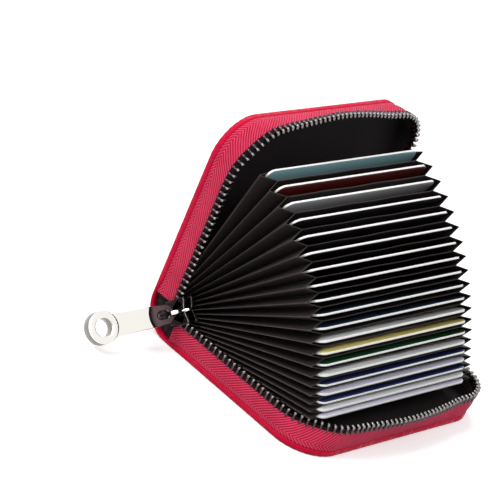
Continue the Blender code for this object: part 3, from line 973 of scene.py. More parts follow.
class CopyRow:
    """Geometry Nodes that set copies of one small mesh along a path: stitches and zip teeth."""

    NAME = "copies_along_path"
    INPUTS = (
        ("Path", "NodeSocketGeometry"),
        ("Copy", "NodeSocketObject"),
        ("Spacing", "NodeSocketFloat"),
        ("Start", "NodeSocketFloat"),
        ("Tilt", "NodeSocketFloat"),
        ("Seed", "NodeSocketInt"),
        ("Finish", "NodeSocketMaterial"),
    )

    def tree(self) -> NodeTree:
        """Builds the node tree, or finds it where it is already built.

        Returns:
            The tree.
        """
        found = bpy.data.node_groups.get(self.NAME)
        if found:
            return found
        tree = bpy.data.node_groups.new(self.NAME, "GeometryNodeTree")
        for name, kind in self.INPUTS:
            tree.interface.new_socket(name, in_out="INPUT", socket_type=kind)
        tree.interface.new_socket("Row", in_out="OUTPUT", socket_type="NodeSocketGeometry")
        given = add(tree, "NodeGroupInput").outputs
        curve = add(tree, "GeometryNodeMeshToCurve", {0: given["Path"]})
        length = add(tree, "GeometryNodeCurveLength", {0: curve})
        end = add(tree, "ShaderNodeMath", {0: length, 1: given["Start"]}, operation="SUBTRACT")
        used = add(tree, "GeometryNodeTrimCurve", {0: curve, 4: given["Start"], 5: end}, mode="LENGTH")
        span = add(tree, "GeometryNodeCurveLength", {0: used})
        steps = add(tree, "ShaderNodeMath", {0: span, 1: given["Spacing"]}, operation="DIVIDE")
        steps = add(tree, "ShaderNodeMath", {0: steps}, operation="ROUND")
        count = add(tree, "ShaderNodeMath", {0: steps, 1: 1.0}, operation="ADD")
        points = add(tree, "GeometryNodeCurveToPoints", {0: used, 1: count}, mode="COUNT")
        up = add(tree, "GeometryNodeInputNamedAttribute", {0: "up"}, data_type="FLOAT_VECTOR")
        along = add(tree, "FunctionNodeAlignRotationToVector", {2: points.outputs["Tangent"]}, axis="X")
        turned = add(tree, "FunctionNodeAlignRotationToVector", {0: along, 2: up}, axis="Z", pivot_axis="X")
        back = add(tree, "ShaderNodeMath", {0: given["Tilt"], 1: -1.0}, operation="MULTIPLY")
        limits = {2: back, 3: given["Tilt"], 8: given["Seed"]}
        tilt = add(tree, "FunctionNodeRandomValue", limits, data_type="FLOAT")
        lean = add(tree, "ShaderNodeCombineXYZ", {0: tilt.outputs[1], 2: tilt.outputs[1]})
        local = add(tree, "FunctionNodeEulerToRotation", {0: lean})
        facing = add(tree, "FunctionNodeRotateRotation", {0: turned, 1: local}, rotation_space="LOCAL")
        copy = add(tree, "GeometryNodeObjectInfo", {0: given["Copy"]}).outputs["Geometry"]
        each = {"Points": points, "Instance": copy, "Rotation": facing}
        copies = add(tree, "GeometryNodeInstanceOnPoints", each)
        real = add(tree, "GeometryNodeRealizeInstances", {0: copies})
        done = add(tree, "GeometryNodeSetMaterial", {0: real, 2: given["Finish"]})
        add(tree, "NodeGroupOutput", {0: done})
        return tree

    def make(
        self,
        name: str,
        path: np.ndarray,
        up: np.ndarray,
        copy: Object,
        finish: Finish,
        spacing: float,
        start: float = 0.0,
        tilt: float = 0.0,
        seed: int = 1,
    ) -> Object:
        """Sets the copies along a path and turns them into a plain mesh.

        Args:
            name: the piece's name.
            path: the path's points.
            up: which way is up at each point.
            copy: the small mesh, X along the path and Z up. It is left for other rows.
            finish: the finish of the row.
            spacing: the distance between copies.
            start: how far from the path's ends the first and last copy are.
            tilt: the largest random turn of a copy, in radians.
            seed: the seed of the random turns.

        Returns:
            The piece.
        """
        mesh = bpy.data.meshes.new(name)
        mesh.from_pydata(path.tolist(), [(i, i + 1) for i in range(len(path) - 1)], [])
        layer = mesh.attributes.new("up", "FLOAT_VECTOR", "POINT")
        layer.data.foreach_set("vector", np.asarray(up, np.float32).ravel())
        obj = linked(name, mesh)
        tree = self.tree()
        modifier = obj.modifiers.new("row", "NODES")
        modifier.node_group = tree
        values = {"Copy": copy, "Spacing": spacing, "Start": start, "Tilt": tilt, "Seed": seed}
        values["Finish"] = finish.material()
        for item in tree.interface.items_tree:
            if item.in_out == "INPUT" and item.name in values:
                modifier[item.identifier] = values[item.name]
        bake(obj)
        obj.data.shade_smooth()
        return obj


def capsule(name: str, sections: list, sides: int) -> Object:
    """A small solid through oval sections along X.

    Args:
        name: its name.
        sections: for each, x, z and the half sizes across and upwards.
        sides: points round each section.

    Returns:
        The solid, hidden from the render.
    """
    angles = np.arange(sides) * TURN / sides
    rings = [[(x, a * math.cos(t), z + b * math.sin(t)) for t in angles] for x, z, a, b in sections]
    obj = swept(name, np.array(rings))
    obj.hide_render = True
    return obj


def about_hinge(angles: np.ndarray, radius: np.ndarray, y: np.ndarray) -> np.ndarray:
    """Sections that stand round the hinge axis.

    Args:
        angles: the angle of each section.
        radius: the points' distances from the axis, for all sections or for each.
        y: their places along the axis, the same.

    Returns:
        Sections by points by three.
    """
    x = SIZES.axis_x + np.cos(angles)[:, None] * radius
    z = SIZES.axis_z + np.sin(angles)[:, None] * radius
    return np.stack([x, np.broadcast_to(y, x.shape), z], axis=-1)


def bend(obj: Object, radius: float) -> None:
    """Bakes a spine piece's place into its points; it does not make the piece bend between the covers.

    Args:
        obj: the piece.
        radius: its distance from the hinge axis.
    """
    ends = [Vector(row[0]) for row in about_hinge(SIZES.hinge_angles(2), np.array([radius]), 0.0)]
    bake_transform(obj)


def rim_plate(name: str, rim: Rim, step: float, inset: np.ndarray, level: np.ndarray) -> Object:
    """A closed plate whose edge has a section, flat inside the section's two ends.

    Args:
        name: the piece's name.
        rim: the way round the edge.
        step: distance between sections.
        inset: the section's distances inside the rim, for all or for each place on the way.
        level: the section's heights, the same.

    Returns:
        The plate.
    """
    point, out = rim.at(rim.steps(step))
    inset = np.broadcast_to(inset, (len(point), inset.shape[-1]))
    level = np.broadcast_to(level, inset.shape)
    flat = point[:, None, :] - out[:, None, :] * inset[..., None]
    rings = np.concatenate([flat, level[..., None]], axis=2)
    index = np.arange(level.size).reshape(level.shape)
    faces = quads(index) + [index[:, 0].tolist(), index[:, -1].tolist()]
    faces.append([*index[0].tolist(), *index[-1, ::-1].tolist()])
    return new_object(name, rings.reshape(-1, 3), faces)


@dataclass
class LeatherWork:
    """The hide: a plate on each cover and the strip that joins them, with turned edges and stitches."""

    groove_inset: float = 2.7 * MM
    groove_half: float = 0.42 * MM
    groove_depth: float = 0.30 * MM
    edge_step: float = 0.6 * MM
    edge_grain: float = 0.1
    bare_edge: float = 0.3 * MM
    grain_grows: float = 1.5 * MM
    pucker: float = 0.09 * MM
    pucker_pitch: float = 2.6 * MM
    pucker_inset: float = 0.8 * MM
    pucker_spread: float = 0.9 * MM
    spine_steps: int = 40
    stitch_pitch: float = 3.1 * MM
    stitch_length: float = 2.45 * MM
    stitch_tilt: float = 0.05
    path_points: int = 400
    spine_path_points: int = 60
    cover_seed: int = 3
    spine_seed: int = 4
    thread: float = 0.24 * MM
    turned_in: float = 5.0 * MM
    creases: int = 5
    crease_depth: float = 0.10 * MM
    rows: CopyRow = field(default_factory=CopyRow)

    def edge_profile(self, roll: float = 0.0) -> np.ndarray:
        """The section of the edge, from the inner face round to the outer.

        Args:
            roll: how much of its full height the padded roll has, from 0 to 1.

        Returns:
            Inset from the edge and depth below the outer face, one row for each point.
        """
        t = SIZES.leather
        h = t + roll * (EDGE_ROLL.height - t)
        g, d, half = self.groove_inset, self.groove_depth, self.groove_half
        inner = [(self.turned_in, t), (2.2 * MM, t), (1.85 * MM, t + 0.12 * (h - t))]
        inner += [(1.70 * MM, t + 0.55 * (h - t)), (1.45 * MM, t + 0.90 * (h - t))]
        edge = [(0.95 * MM, h), (0.50 * MM, h - 0.04 * t), (0.20 * MM, h - 0.20 * t)]
        edge += [(0.04 * MM, h - 0.48 * t), (0.0, 0.55 * h), (0.05 * MM, 0.34 * t), (0.22 * MM, 0.16 * t)]
        edge += [(0.52 * MM, 0.05 * t), (1.0 * MM, 0.0)]
        groove = [(-2.0, 0.0), (-1.0, 0.22), (-0.5, 0.8), (0.0, 1.0), (0.5, 0.8), (1.0, 0.22), (2.0, 0.0)]
        outer = [(g + across * half, down * d) for across, down in groove]
        return np.array([*inner, *edge, *outer, (self.turned_in, 0.0)])

    def mark_hide(self, obj: Object, profile: np.ndarray, count: int) -> None:
        """Marks where the hide is stretched smooth and where its groove is.

        Args:
            obj: the piece.
            profile: the inset and depth of one section's points.
            count: the number of sections.
        """
        outside = profile[:, 1] < 0.5 * SIZES.leather
        grown = np.clip((profile[:, 0] - self.bare_edge) / self.grain_grows, self.edge_grain, 1.0)
        grain = np.where(outside, grown, self.edge_grain)
        seam = np.where(outside, np.clip(profile[:, 1] / self.groove_depth, 0.0, 1.0), 0.0)
        seam = np.where(np.abs(profile[:, 0] - self.groove_inset) < 1.0 * MM, seam, 0.0)
        mark(obj, "grain", np.tile(grain, count))
        mark(obj, "seam", np.tile(seam, count))

    def plate(self, side: Side) -> None:
        """One cover's leather, from the hinge line to the front edge, puckered at the corners.

        Args:
            side: the cover.
        """
        outer = Rim(0.0, 0.0)
        steps = outer.steps(self.edge_step)
        sections = np.array([self.edge_profile(roll) for roll in EDGE_ROLL.share(outer, steps)])
        inset, depth = sections[..., 0], sections[..., 1]
        ripple = outer.corner_share(steps) * np.sin(steps * TURN / self.pucker_pitch)
        spread = np.exp(-(((inset - self.pucker_inset) / self.pucker_spread) ** 2))
        raised = self.pucker * ripple[:, None] * spread * (depth < 0.5 * SIZES.leather)
        level = -SIZES.axis_z + depth + raised
        obj = rim_plate(f"{side.value}_cover_hide", outer, self.edge_step, inset, level)
        placed(obj, SIZES.cover(side))
        obj.data.set_sharp_from_angle(angle=math.radians(60))
        self.mark_hide(obj, self.edge_profile(), len(steps))
        dress(obj, LEATHER, f"{side.value}_cover", "leather", f"{side.value}_leather")

    def spine(self) -> None:
        """The strip that bends between the covers, with shallow creases along it."""
        half = self.edge_profile()
        section = np.concatenate([half, half[::-1]])
        y = np.concatenate([half[:, 0] - SIZES.half_width, SIZES.half_width - half[::-1, 0]])
        share = np.linspace(0.0, 1.0, self.spine_steps + 1)
        crease = np.sin(math.pi * share) ** 2 * (0.5 - 0.5 * np.cos(TURN * self.creases * share))
        radius = SIZES.axis_z - section[:, 1] - self.crease_depth * crease[:, None]
        obj = swept("spine_hide", about_hinge(SIZES.hinge_angles(len(share)), radius, y))
        obj.data.set_sharp_from_angle(angle=math.radians(60))
        self.mark_hide(obj, section, len(share))
        dress(obj, LEATHER, None, "leather", "spine_leather")
        bend(obj, SIZES.axis_z)

    def stitch(self) -> Object:
        """One stitch, sunk at both ends.

        Returns:
            The stitch, hidden from the render.
        """
        half = self.stitch_length / 2
        sections = []
        for share in (-1.0, -0.86, -0.55, 0.0, 0.55, 0.86, 1.0):
            size = self.thread * math.sqrt(max(1 - share**4, 0.05))
            sections.append((half * share, -0.55 * self.thread * share**4, size, size))
        return capsule("stitch", sections, 8)

    def stitch_row(self, name: str, path: np.ndarray, up: np.ndarray, stitch: Object, seed: int) -> Object:
        """One row of stitches along a path."""
        laid = (self.stitch_pitch, self.stitch_pitch / 2, self.stitch_tilt, seed)
        return self.rows.make(name, path, up, stitch, THREAD, *laid)

    def stitches(self) -> None:
        """The stitch lines of both covers and of the spine's two ends."""
        stitch = self.stitch()
        level = self.groove_depth - 0.45 * self.thread
        line = Rim(0.0, self.groove_inset)
        point, _ = line.at(np.linspace(0.0, line.length, self.path_points))
        path = np.column_stack([point, np.full(len(point), level - SIZES.axis_z)])
        down = np.tile((0.0, 0.0, -1.0), (len(path), 1))
        for side in Side:
            row = self.stitch_row(f"{side.value}_stitches", path, down, stitch, self.cover_seed)
            dress(placed(row, SIZES.cover(side)), THREAD, f"{side.value}_cover", "leather")
        angles = SIZES.hinge_angles(self.spine_path_points)
        away = np.column_stack([np.cos(angles), np.zeros(len(angles)), np.sin(angles)])
        ends = []
        for y in (self.groove_inset - SIZES.half_width, SIZES.half_width - self.groove_inset):
            centre = np.array([SIZES.axis_x, y, SIZES.axis_z])
            path = centre + (SIZES.axis_z - level) * away
            ends.append(self.stitch_row("spine_row", path, away, stitch, self.spine_seed))
        obj = merged("spine_stitches", ends)
        bpy.data.objects.remove(stitch)
        dress(obj, THREAD, None, "leather")
        bend(obj, SIZES.axis_z)

    def build(self) -> None:
        """Builds the leather work."""
        for side in Side:
            self.plate(side)
        self.spine()
        self.stitches()


@dataclass
class Zip:
    """The two tapes and their rows of teeth."""

    # A tooth's sections in millimetres: level, and half its size across the tape and along it. The crown's
    # levels count from the row's top.
    LEGS = ((-3.60, 0.90, 0.34), (-3.45, 1.06, 0.46), (-2.60, 1.14, 0.50), (-1.85, 1.04, 0.48))
    LEGS += ((-1.55, 0.88, 0.42), (-1.25, 1.02, 0.50), (-0.75, 1.08, 0.55))
    CROWN = ((-0.08, 0.94, 0.47), (0.10, 0.62, 0.30))

    tape_start: float = 1.5 * MM
    teeth_start: float = 3.0 * MM
    step: float = 0.55 * MM
    rows_up: int = 22
    half_tape: float = 0.25 * MM
    sewn_in: float = 1.2 * MM
    tape_top: float = -1.9 * MM
    lean: float = 0.50 * MM
    bulge: float = 0.36 * MM
    gather: float = 0.26 * MM
    gather_pitch: float = 3.4 * MM
    slack: float = 0.05 * MM
    slack_pitches: tuple = (23 * MM, 9.7 * MM)
    pitch: float = 2.4 * MM
    path_points: int = 500
    tooth_sides: int = 10
    tooth_tilt: float = 0.05
    seed: int = 7
    crown_from: float = -1.5 * MM
    crown_blend: float = 0.4 * MM
    copies: CopyRow = field(default_factory=CopyRow)

    def tape(self, side: Side) -> None:
        """One tape: it stands on the leather's edge, bulges a little and is gathered at the corners.

        Args:
            side: the cover.
        """
        rim = Rim(self.tape_start, SIZES.half_width - SIZES.tape_line)
        foot = SIZES.leather - SIZES.axis_z + self.half_tape
        along = rim.steps(self.step)
        point, out = rim.at(along)
        share = np.linspace(0.0, 1.0, self.rows_up)
        lean = self.lean * np.cos(share * math.pi / 2) + self.bulge * np.sin(share * math.pi)
        folds = rim.corner_share(along) * np.sin(along * TURN / self.gather_pitch)
        long, short = self.slack_pitches
        slack = np.sin(along * TURN / long) + np.sin(along * TURN / short + 1.0)
        low_down = (1 - share) ** 1.5 * np.sin(share * math.pi * 0.9)
        away = lean[:, None] + self.gather * folds * low_down[:, None]
        away = away + self.slack * slack * np.sin(share * math.pi)[:, None]
        away = away + TOOTH_LINE.stray(rim, along, side) * share[:, None]
        padding = EDGE_ROLL.height - SIZES.leather - 0.8 * self.half_tape
        seat = foot + padding * EDGE_ROLL.share(rim, along)
        top = self.tape_top - TOOTH_LINE.dip(rim, along, side)
        height = seat + (top - seat) * share[:, None]
        flat = point[None, :, :] + out[None, :, :] * away[..., None]
        grid = np.concatenate([flat, height[..., None]], axis=2)
        uv = np.stack([np.broadcast_to(along, height.shape), height - foot], axis=-1)
        obj = placed(cloth(f"{side.value}_zip_cloth", grid, self.half_tape, uv), SIZES.cover(side))
        flat = (rim.length, self.tape_top - foot + self.sewn_in)
        dress(obj, TAPE, f"{side.value}_cover", "zip_tape", f"{side.value}_tape")

    def tooth(self) -> Object:
        """One tooth: two legs clamped over the tape, a waist and a head with a rounded crown.

        Returns:
            The tooth, hidden from the render.
        """
        legs, crown = np.array(self.LEGS) * MM, np.array(self.CROWN) * MM
        crown[:, 0] += SIZES.tooth_top
        angles = (np.arange(self.tooth_sides) + 0.5) * TURN / self.tooth_sides
        squared = 1 / np.maximum(np.abs(np.cos(angles)), np.abs(np.sin(angles))) ** 0.6
        rings = []
        for z, across, along in [*legs, *crown]:
            x = along * np.cos(angles) * squared
            y = across * np.sin(angles) * squared
            rings.append(np.stack([x, y, np.full(len(angles), z)], axis=1))
        obj = swept("tooth", np.array(rings))
        obj.hide_render = True
        level = np.array(rings)[..., 2].ravel()
        # The crown mark: below it the teeth's material paints shade on the legs.
        mark(obj, "crown", np.clip((level - self.crown_from) / self.crown_blend, 0.0, 1.0))
        return obj

    def teeth(self) -> None:
        """Both rows. The upper row lies half a pitch further along, so that the rows interlock."""
        tooth = self.tooth()
        rim = Rim(self.teeth_start, SIZES.half_width - SIZES.tape_line)
        along = np.linspace(0.0, rim.length, self.path_points)
        point, out = rim.at(along)
        height = self.tape_top - SIZES.leather + SIZES.axis_z - self.half_tape
        for number, side in enumerate(Side):
            lean = TOOTH_LINE.stray(rim, along, side)[:, None] / height
            sunk = -TOOTH_LINE.dip(rim, along, side)
            path = np.column_stack([point + out * lean * (height - self.tape_top), sunk])
            up = np.column_stack([out * lean, np.ones(len(point))])
            up /= np.linalg.norm(up, axis=1, keepdims=True)
            start = (0.5 + number) * self.pitch / 2
            name = f"{side.value}_tooth_row"
            turns = (self.tooth_tilt, self.seed + number)
            row = self.copies.make(name, path, up, tooth, TOOTH_METAL, self.pitch, start, *turns)
            placed(row, SIZES.cover(side))
            dress(row, TOOTH_METAL, f"{side.value}_cover", "zip_teeth", f"{side.value}_teeth")
        bpy.data.objects.remove(tooth)

    def build(self) -> None:
        """Builds the zip's tapes and teeth."""
        for side in Side:
            self.tape(side)
        self.teeth()


@dataclass
class Linings:
    """The black cloth inside: a tray in each cover, and the spine's lining with its pleated gores."""

    # The tray's section from the floor up: how far inside the edge in millimetres, and the share of the
    # wall's height.
    TRAY_SHARES = ((9.0, 0.0), (3.9, 0.0), (3.0, 0.012), (2.45, 0.05), (2.15, 0.13), (2.0, 0.26))
    TRAY_SHARES += ((1.95, 0.45), (1.85, 0.65), (1.7, 0.85), (1.62, 0.97))
    # A gore's section from the accordion outwards: distance from the hinge axis and place along it, in
    # millimetres.
    GORE = ((2.8, 48.0), (4.2, 48.05), (5.4, 48.1), (6.4, 48.3), (7.0, 48.9), (7.6, 49.6))
    GORE += ((8.2, 50.1), (9.2, 50.4), (10.2, 50.5), (10.9, 50.3), (11.2, 49.8))

    start: float = 0.6 * MM
    step: float = 1.2 * MM
    wall_top: float = -3.4 * MM
    wall: float = 0.2 * MM
    floor_share: float = 0.1
    leaning: float = 3.5 * MM
    spine_columns: int = 40
    half_spine_cloth: float = 0.1 * MM
    spine_flat: float = 118 * MM
    spine_area_share: float = 0.92
    bend_radius: float = 11 * MM
    gore_pleats: int = 9
    gore_depth: float = 0.35 * MM
    gore_from: float = 47.5 * MM
    gore_blend: float = 1.0 * MM
    pleats_from: float = 3 * MM
    spill: float = math.radians(13.0)
    spine_steps: int = 72

    def tray(self, side: Side) -> None:
        """One cover's lining: the floor, and the wall that rises inside the tape to the teeth.

        Args:
            side: the cover.
        """
        floor = SIZES.lining_top
        rise = self.wall_top - floor
        inset, share = np.array(self.TRAY_SHARES).T
        inset = inset * MM
        level = floor + rise * share
        lying = share < self.floor_share
        under = np.where(lying, inset, inset - self.wall)
        under_level = np.where(lying, level - self.wall, level)
        inset = np.concatenate([inset, under[::-1]])
        level = np.concatenate([level, under_level[::-1]])
        rim = Rim(self.start, 0.0)
        foot = SIZES.leather - SIZES.axis_z
        share = np.clip((level - foot) / (Zip.tape_top - foot), 0.0, 1.0) * (inset < self.leaning)
        inset = inset - TOOTH_LINE.stray(rim, rim.steps(self.step), side)[:, None] * share
        obj = rim_plate(f"{side.value}_lining_cloth", rim, self.step, inset, level)
        placed(obj, SIZES.cover(side))
        dress(obj, LINING, f"{side.value}_cover", "lining", f"{side.value}_lining")

    def spine(self) -> None:
        """The lining behind the accordion and the gore at each end, in one cloth."""
        radius, side = np.array(self.GORE).T
        middle = np.linspace(-side[0], side[0], self.spine_columns)
        section_r = np.concatenate([radius, np.full(len(middle), radius[-1]), radius[::-1]]) * MM
        section_y = np.concatenate([-side, middle, side[::-1]]) * MM
        first = 1.5 * math.pi + self.spill
        last = math.pi / 2 + SIZES.opening - self.spill
        angles = np.linspace(first, last, self.spine_steps)
        gore = np.clip((np.abs(section_y) - self.gore_from) / self.gore_blend, 0.0, 1.0)
        pleat = 0.5 - 0.5 * np.cos(TURN * self.gore_pleats * np.linspace(0.0, 1.0, len(angles)))
        grown = np.clip((section_r - self.pleats_from) / self.pleats_from, 0.0, 1.0)
        y = section_y - np.sign(section_y) * (self.gore_depth * gore * grown) * pleat[:, None]
        obj = cloth("spine_lining_cloth", about_hinge(angles, section_r, y), self.half_spine_cloth)
        dress(obj, LINING, None, "lining", "spine_lining")
        bend(obj, self.bend_radius)

    def build(self) -> None:
        """Builds the linings."""
        for side in Side:
            self.tray(side)
        self.spine()


@dataclass
class Fan:
    """The accordion: for each page one pocket cloth, made of a leaf and the pleat at each end of it, and
    one card."""

    card_length: float = 85.6 * MM
    card_width: float = 53.98 * MM
    card_thickness: float = 0.76 * MM
    card_corner: float = 3.18 * MM
    card_edge: float = 0.10 * MM
    rear_gap: float = 1.8 * MM
    leaf_rear: float = 0.5 * MM
    leaf_reach: float = 54.28 * MM
    valley: float = 43.2 * MM
    fold: float = 39.8 * MM
    tip: float = 47.2 * MM
    crease: float = 0.7 * MM
    card_room: float = 0.47 * MM
    closed_pitch: float = 1.0 * MM
    half_cloth: float = 0.06 * MM
    hem: float = 0.6 * MM
    hem_cloth: float = 0.07 * MM
    knee_gap: float = 0.2 * MM
    bow: float = 0.22
    bow_pitch: float = 31 * MM
    bow_turn: float = 1.7
    bow_gap: float = 0.55 * MM
    bow_room: float = 0.6 * MM
    pleat_rise: float = 1.6 * MM
    crease_highlight: float = 0.9
    leaf_hem_highlight: float = 0.8
    pleat_hem_highlight: float = 0.25
    inside_highlight: float = 0.05
    stations: int = 18
    leaf_columns: int = 30
    # The grounds #1E2F44 and #1A2A38 are partly the cards' blue and partly painted shade of the pockets they sit
    # deep in.
    prints: tuple = (
        "#E6E4F4", "#F8F8FA", "#15204F", "#DEDCEE", "#131C48", "#F8F8F8", "#0E3B22",
        "#F0DE86", "#F6F6F6", "#1E2F44", "#1A2A38", "#1C1C20", "#202024", "#1B1B1E",
        "#232326", "#1C1B1E", "#212024", "#A9A9AE", "#541A16", "#86AEB6",
    )

    def __post_init__(self) -> None:
        """Reads each page's turn and place off the frame."""
        ratios = {c["joint"]: c["ratio"] for c in frame["record"]["behaviour"]["couplings"]}
        self.angles = []
        self.origins = []
        for number in range(1, len(self.prints) + 1):
            angle = ratios[f"page_{number:02d}_turn"] * SIZES.opening
            low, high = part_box(f"card_{number:02d}")
            middle = (low + high) / 2
            reach = self.rear_gap + self.card_width / 2
            origin = np.array([middle.x - reach * math.cos(angle), middle.z - reach * math.sin(angle)])
            self.angles.append(angle)
            self.origins.append(origin)

    def point(self, page: int, reach: np.ndarray, lift: float = 0.0) -> np.ndarray:
        """Points in a page's own section.

        Args:
            page: the page's number, from 0.
            reach: how far along the page each point is.
            lift: how far above the middle of its card.

        Returns:
            x and z of each point.
        """
        angle = self.angles[page]
        along = np.array([math.cos(angle), math.sin(angle)])
        up = np.array([-math.sin(angle), math.cos(angle)])
        return self.origins[page] + np.asarray(reach)[:, None] * along + lift * up

    def valley_line(self, page: int, reach: np.ndarray) -> np.ndarray:
        """The fold below a page, half way to the page beneath.

        Args:
            page: the page's number, from 0.
            reach: how far along the page each point is.

        Returns:
            x and z of each point.
        """
        if page == 0:
            return self.point(0, reach, -self.closed_pitch / 2)
        if page == len(self.prints):
            return self.point(page - 1, reach, self.closed_pitch / 2)
        return (self.point(page - 1, reach) + self.point(page, reach)) / 2

    def leaf_rows(self) -> tuple[np.ndarray, np.ndarray]:
        """The rows of points along a leaf.

        Returns:
            How far along the page each row is, and how much it is in the hem, from 0 to 1.
        """
        reach = np.linspace(self.leaf_rear, self.leaf_reach, self.stations)
        reach = np.sort(np.append(reach, [self.leaf_reach - self.hem, self.leaf_reach - 0.6 * self.hem]))
        return reach, np.clip((reach - self.leaf_reach + self.hem) / (0.4 * self.hem), 0.0, 1.0)

    def pocket(self, page: int) -> None:
        """One pocket's cloth: pleat, leaf and pleat, from the fold above the card to the fold below it.

        Args:
            page: the page's number, from 0.
        """
        reach, hem_share = self.leaf_rows()
        low = self.valley_line(page, reach)
        high = self.valley_line(page + 1, reach)
        tip = self.point(page, reach)
        knee = self.card_length / 2 + self.knee_gap
        crease = self.tip - np.array([1.0, 0.75, 0.0]) * self.crease
        y_pleat = np.array([self.fold, knee, *crease])
        leaf = np.linspace(-self.fold, self.fold, self.leaf_columns)[1:-1]
        y = np.concatenate([-y_pleat, -y_pleat[-2::-1], leaf, y_pleat, y_pleat[-2::-1]])
        sides = []
        for edge in (high, low):
            rise = np.linalg.norm(edge - tip, axis=1)
            at_knee = np.clip((self.tip - knee) / (self.tip - self.fold), self.card_room / rise, 1.0)
            share = at_knee[:, None] * np.clip((self.tip - y_pleat) / (self.tip - knee), 0.0, 1.0)
            share[:, 0] = 1.0
            sides.append(tip[:, None] + (edge - tip)[:, None] * share[..., None])
        side = np.concatenate([sides[0], sides[1][:, -2::-1]], axis=1)
        middle = np.repeat(low[:, None, :], len(leaf), axis=1)
        normal = np.array([-math.sin(self.angles[page]), math.cos(self.angles[page])])
        room = np.clip(np.linalg.norm(tip - low, axis=1) - self.bow_gap, 0.0, self.bow_room)
        wave = np.sin(leaf * TURN / self.bow_pitch + self.bow_turn * page) * (1 - (leaf / self.fold) ** 2)
        middle = middle + self.bow * (room[:, None] * wave[None, :])[..., None] * normal
        xz = np.concatenate([side, middle, side[:, ::-1]], axis=1)
        points = np.stack([xz[..., 0], np.broadcast_to(y, xz.shape[:2]), xz[..., 1]], axis=-1)
        half = self.half_cloth + self.hem_cloth * hem_share[:, None] * np.ones(len(y))
        # The fold mark sets where the cloth's material paints a highlight: on hems and pleat tips, fainter on the
        # inner side.
        at_tip = np.abs(y) > self.tip - 0.8 * self.crease
        hem_highlight_at = np.where(np.abs(y) > self.fold - 0.1 * MM, self.pleat_hem_highlight, self.leaf_hem_highlight)
        fold = np.maximum(hem_share[:, None] * hem_highlight_at, self.crease_highlight * at_tip.astype(float))
        obj = cloth(f"pocket_{page + 1:02d}", points, half)
        obj.data.set_sharp_from_angle(angle=math.radians(30))
        mark(obj, "fold", np.concatenate([self.inside_highlight * fold, fold]))
        nodes = [f"leaf_{page + 1:02d}"]
        if page == 0:
            nodes += ["left_pleats", "right_pleats"]
        dress(obj, POCKET_CLOTH, f"page_{page + 1:02d}", "accordion", *nodes)
        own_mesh(obj)

    def card(self, page: int) -> None:
        """One bank card with rounded corners: white core at the edge, print on both faces.

        Args:
            page: the number of its page, from 0.
        """
        half_x, half_y, radius = self.card_width / 2, self.card_length / 2, self.card_corner
        quarter = np.linspace(0.0, math.pi / 2, 9)
        r = self.card_edge
        profile = [(r, -1.0), (0.3 * r, -0.9), (0.0, -0.72), (0.0, 0.72), (0.3 * r, 0.9), (r, 1.0)]
        rings = []
        for inset, share in profile:
            ring = []
            for turn, (sign_x, sign_y) in enumerate(((1, 1), (-1, 1), (-1, -1), (1, -1))):
                for angle in quarter + turn * math.pi / 2:
                    x = sign_x * (half_x - radius) + (radius - inset) * math.cos(angle)
                    y = sign_y * (half_y - radius) + (radius - inset) * math.sin(angle)
                    ring.append((x + self.rear_gap + half_x, y, share * self.card_thickness / 2))
            rings.append(ring)
        node = f"card_{page + 1:02d}"
        obj = swept(f"bank_{node}", np.array(rings))
        ground = self.prints[page]
        laminate = CardPlastic(f"laminated_card_{ground[1:].lower()}", ground=ground)
        obj.data.materials.append(CARD_CORE.material())
        obj.data.materials.append(laminate.material())
        for polygon in obj.data.polygons:
            printed = len(polygon.vertices) > 4
            polygon.material_index = (CardFace.PRINT if printed else CardFace.CORE).value
            polygon.use_smooth = not printed
        obj.data.set_sharp_from_angle(angle=math.radians(50))
        x, z = self.origins[page]
        placed(obj, Matrix.Translation((x, 0.0, z)) @ Matrix.Rotation(-self.angles[page], 4, "Y"))
        slot = next(p["material_slot"] for p in frame["record"]["subparts"] if p["node"] == node)
        dress(obj, CARD_CORE, node, slot, node)

    def top_leaf(self) -> None:
        """The last leaf, over the top card."""
        page = len(self.prints) - 1
        reach, hem_share = self.leaf_rows()
        line = self.valley_line(page + 1, reach)
        y = np.linspace(-self.valley, self.valley, self.leaf_columns)
        points = np.empty((len(reach), len(y), 3))
        points[..., 0] = line[:, None, 0]
        points[..., 1] = y
        points[..., 2] = line[:, None, 1]
        obj = cloth("top_leaf", points, self.half_cloth)
        # The hem gets the cloth's painted highlight.
        fold = np.broadcast_to(hem_share[:, None], points.shape[:2])
        mark(obj, "fold", np.concatenate([fold, fold]))
        dress(obj, POCKET_CLOTH, f"page_{page + 1:02d}", "accordion", "leaf_21")

    def build(self) -> None:
        """Builds every pocket and card."""
        for page in range(len(self.prints)):
            self.pocket(page)
            self.card(page)
        self.top_leaf()


def offset_ring(ring: np.ndarray, inset: float) -> np.ndarray:
    """Draws in a closed flat outline.

    Args:
        ring: the outline's points, anticlockwise.
        inset: how far it is drawn in.

    Returns:
        The new points.
    """
    ahead = np.roll(ring, -1, axis=0) - ring
    behind = ring - np.roll(ring, 1, axis=0)
    tangent = ahead / np.linalg.norm(ahead, axis=1, keepdims=True)
    tangent = tangent + behind / np.linalg.norm(behind, axis=1, keepdims=True)
    tangent /= np.linalg.norm(tangent, axis=1, keepdims=True)
    return ring - inset * np.stack([tangent[:, 1], -tangent[:, 0]], axis=1)


def rounded(before: np.ndarray, corner: np.ndarray, after: np.ndarray, cut: float, steps: int) -> list:
    """Rounds one corner of a flat line.

    Args:
        before: the line's point before the corner.
        corner: the corner.
        after: the point after it.
        cut: how far from the corner the rounding starts, cut down where a side is short.
        steps: the number of points on it.

    Returns:
        The points.
    """
    one, two = before - corner, after - corner
    cut = min(cut, 0.45 * np.linalg.norm(one), 0.45 * np.linalg.norm(two))
    start = corner + one / np.linalg.norm(one) * cut
    stop = corner + two / np.linalg.norm(two) * cut
    shares = np.linspace(0.0, 1.0, steps)
    return [(1 - t) ** 2 * start + 2 * t * (1 - t) * corner + t**2 * stop for t in shares]


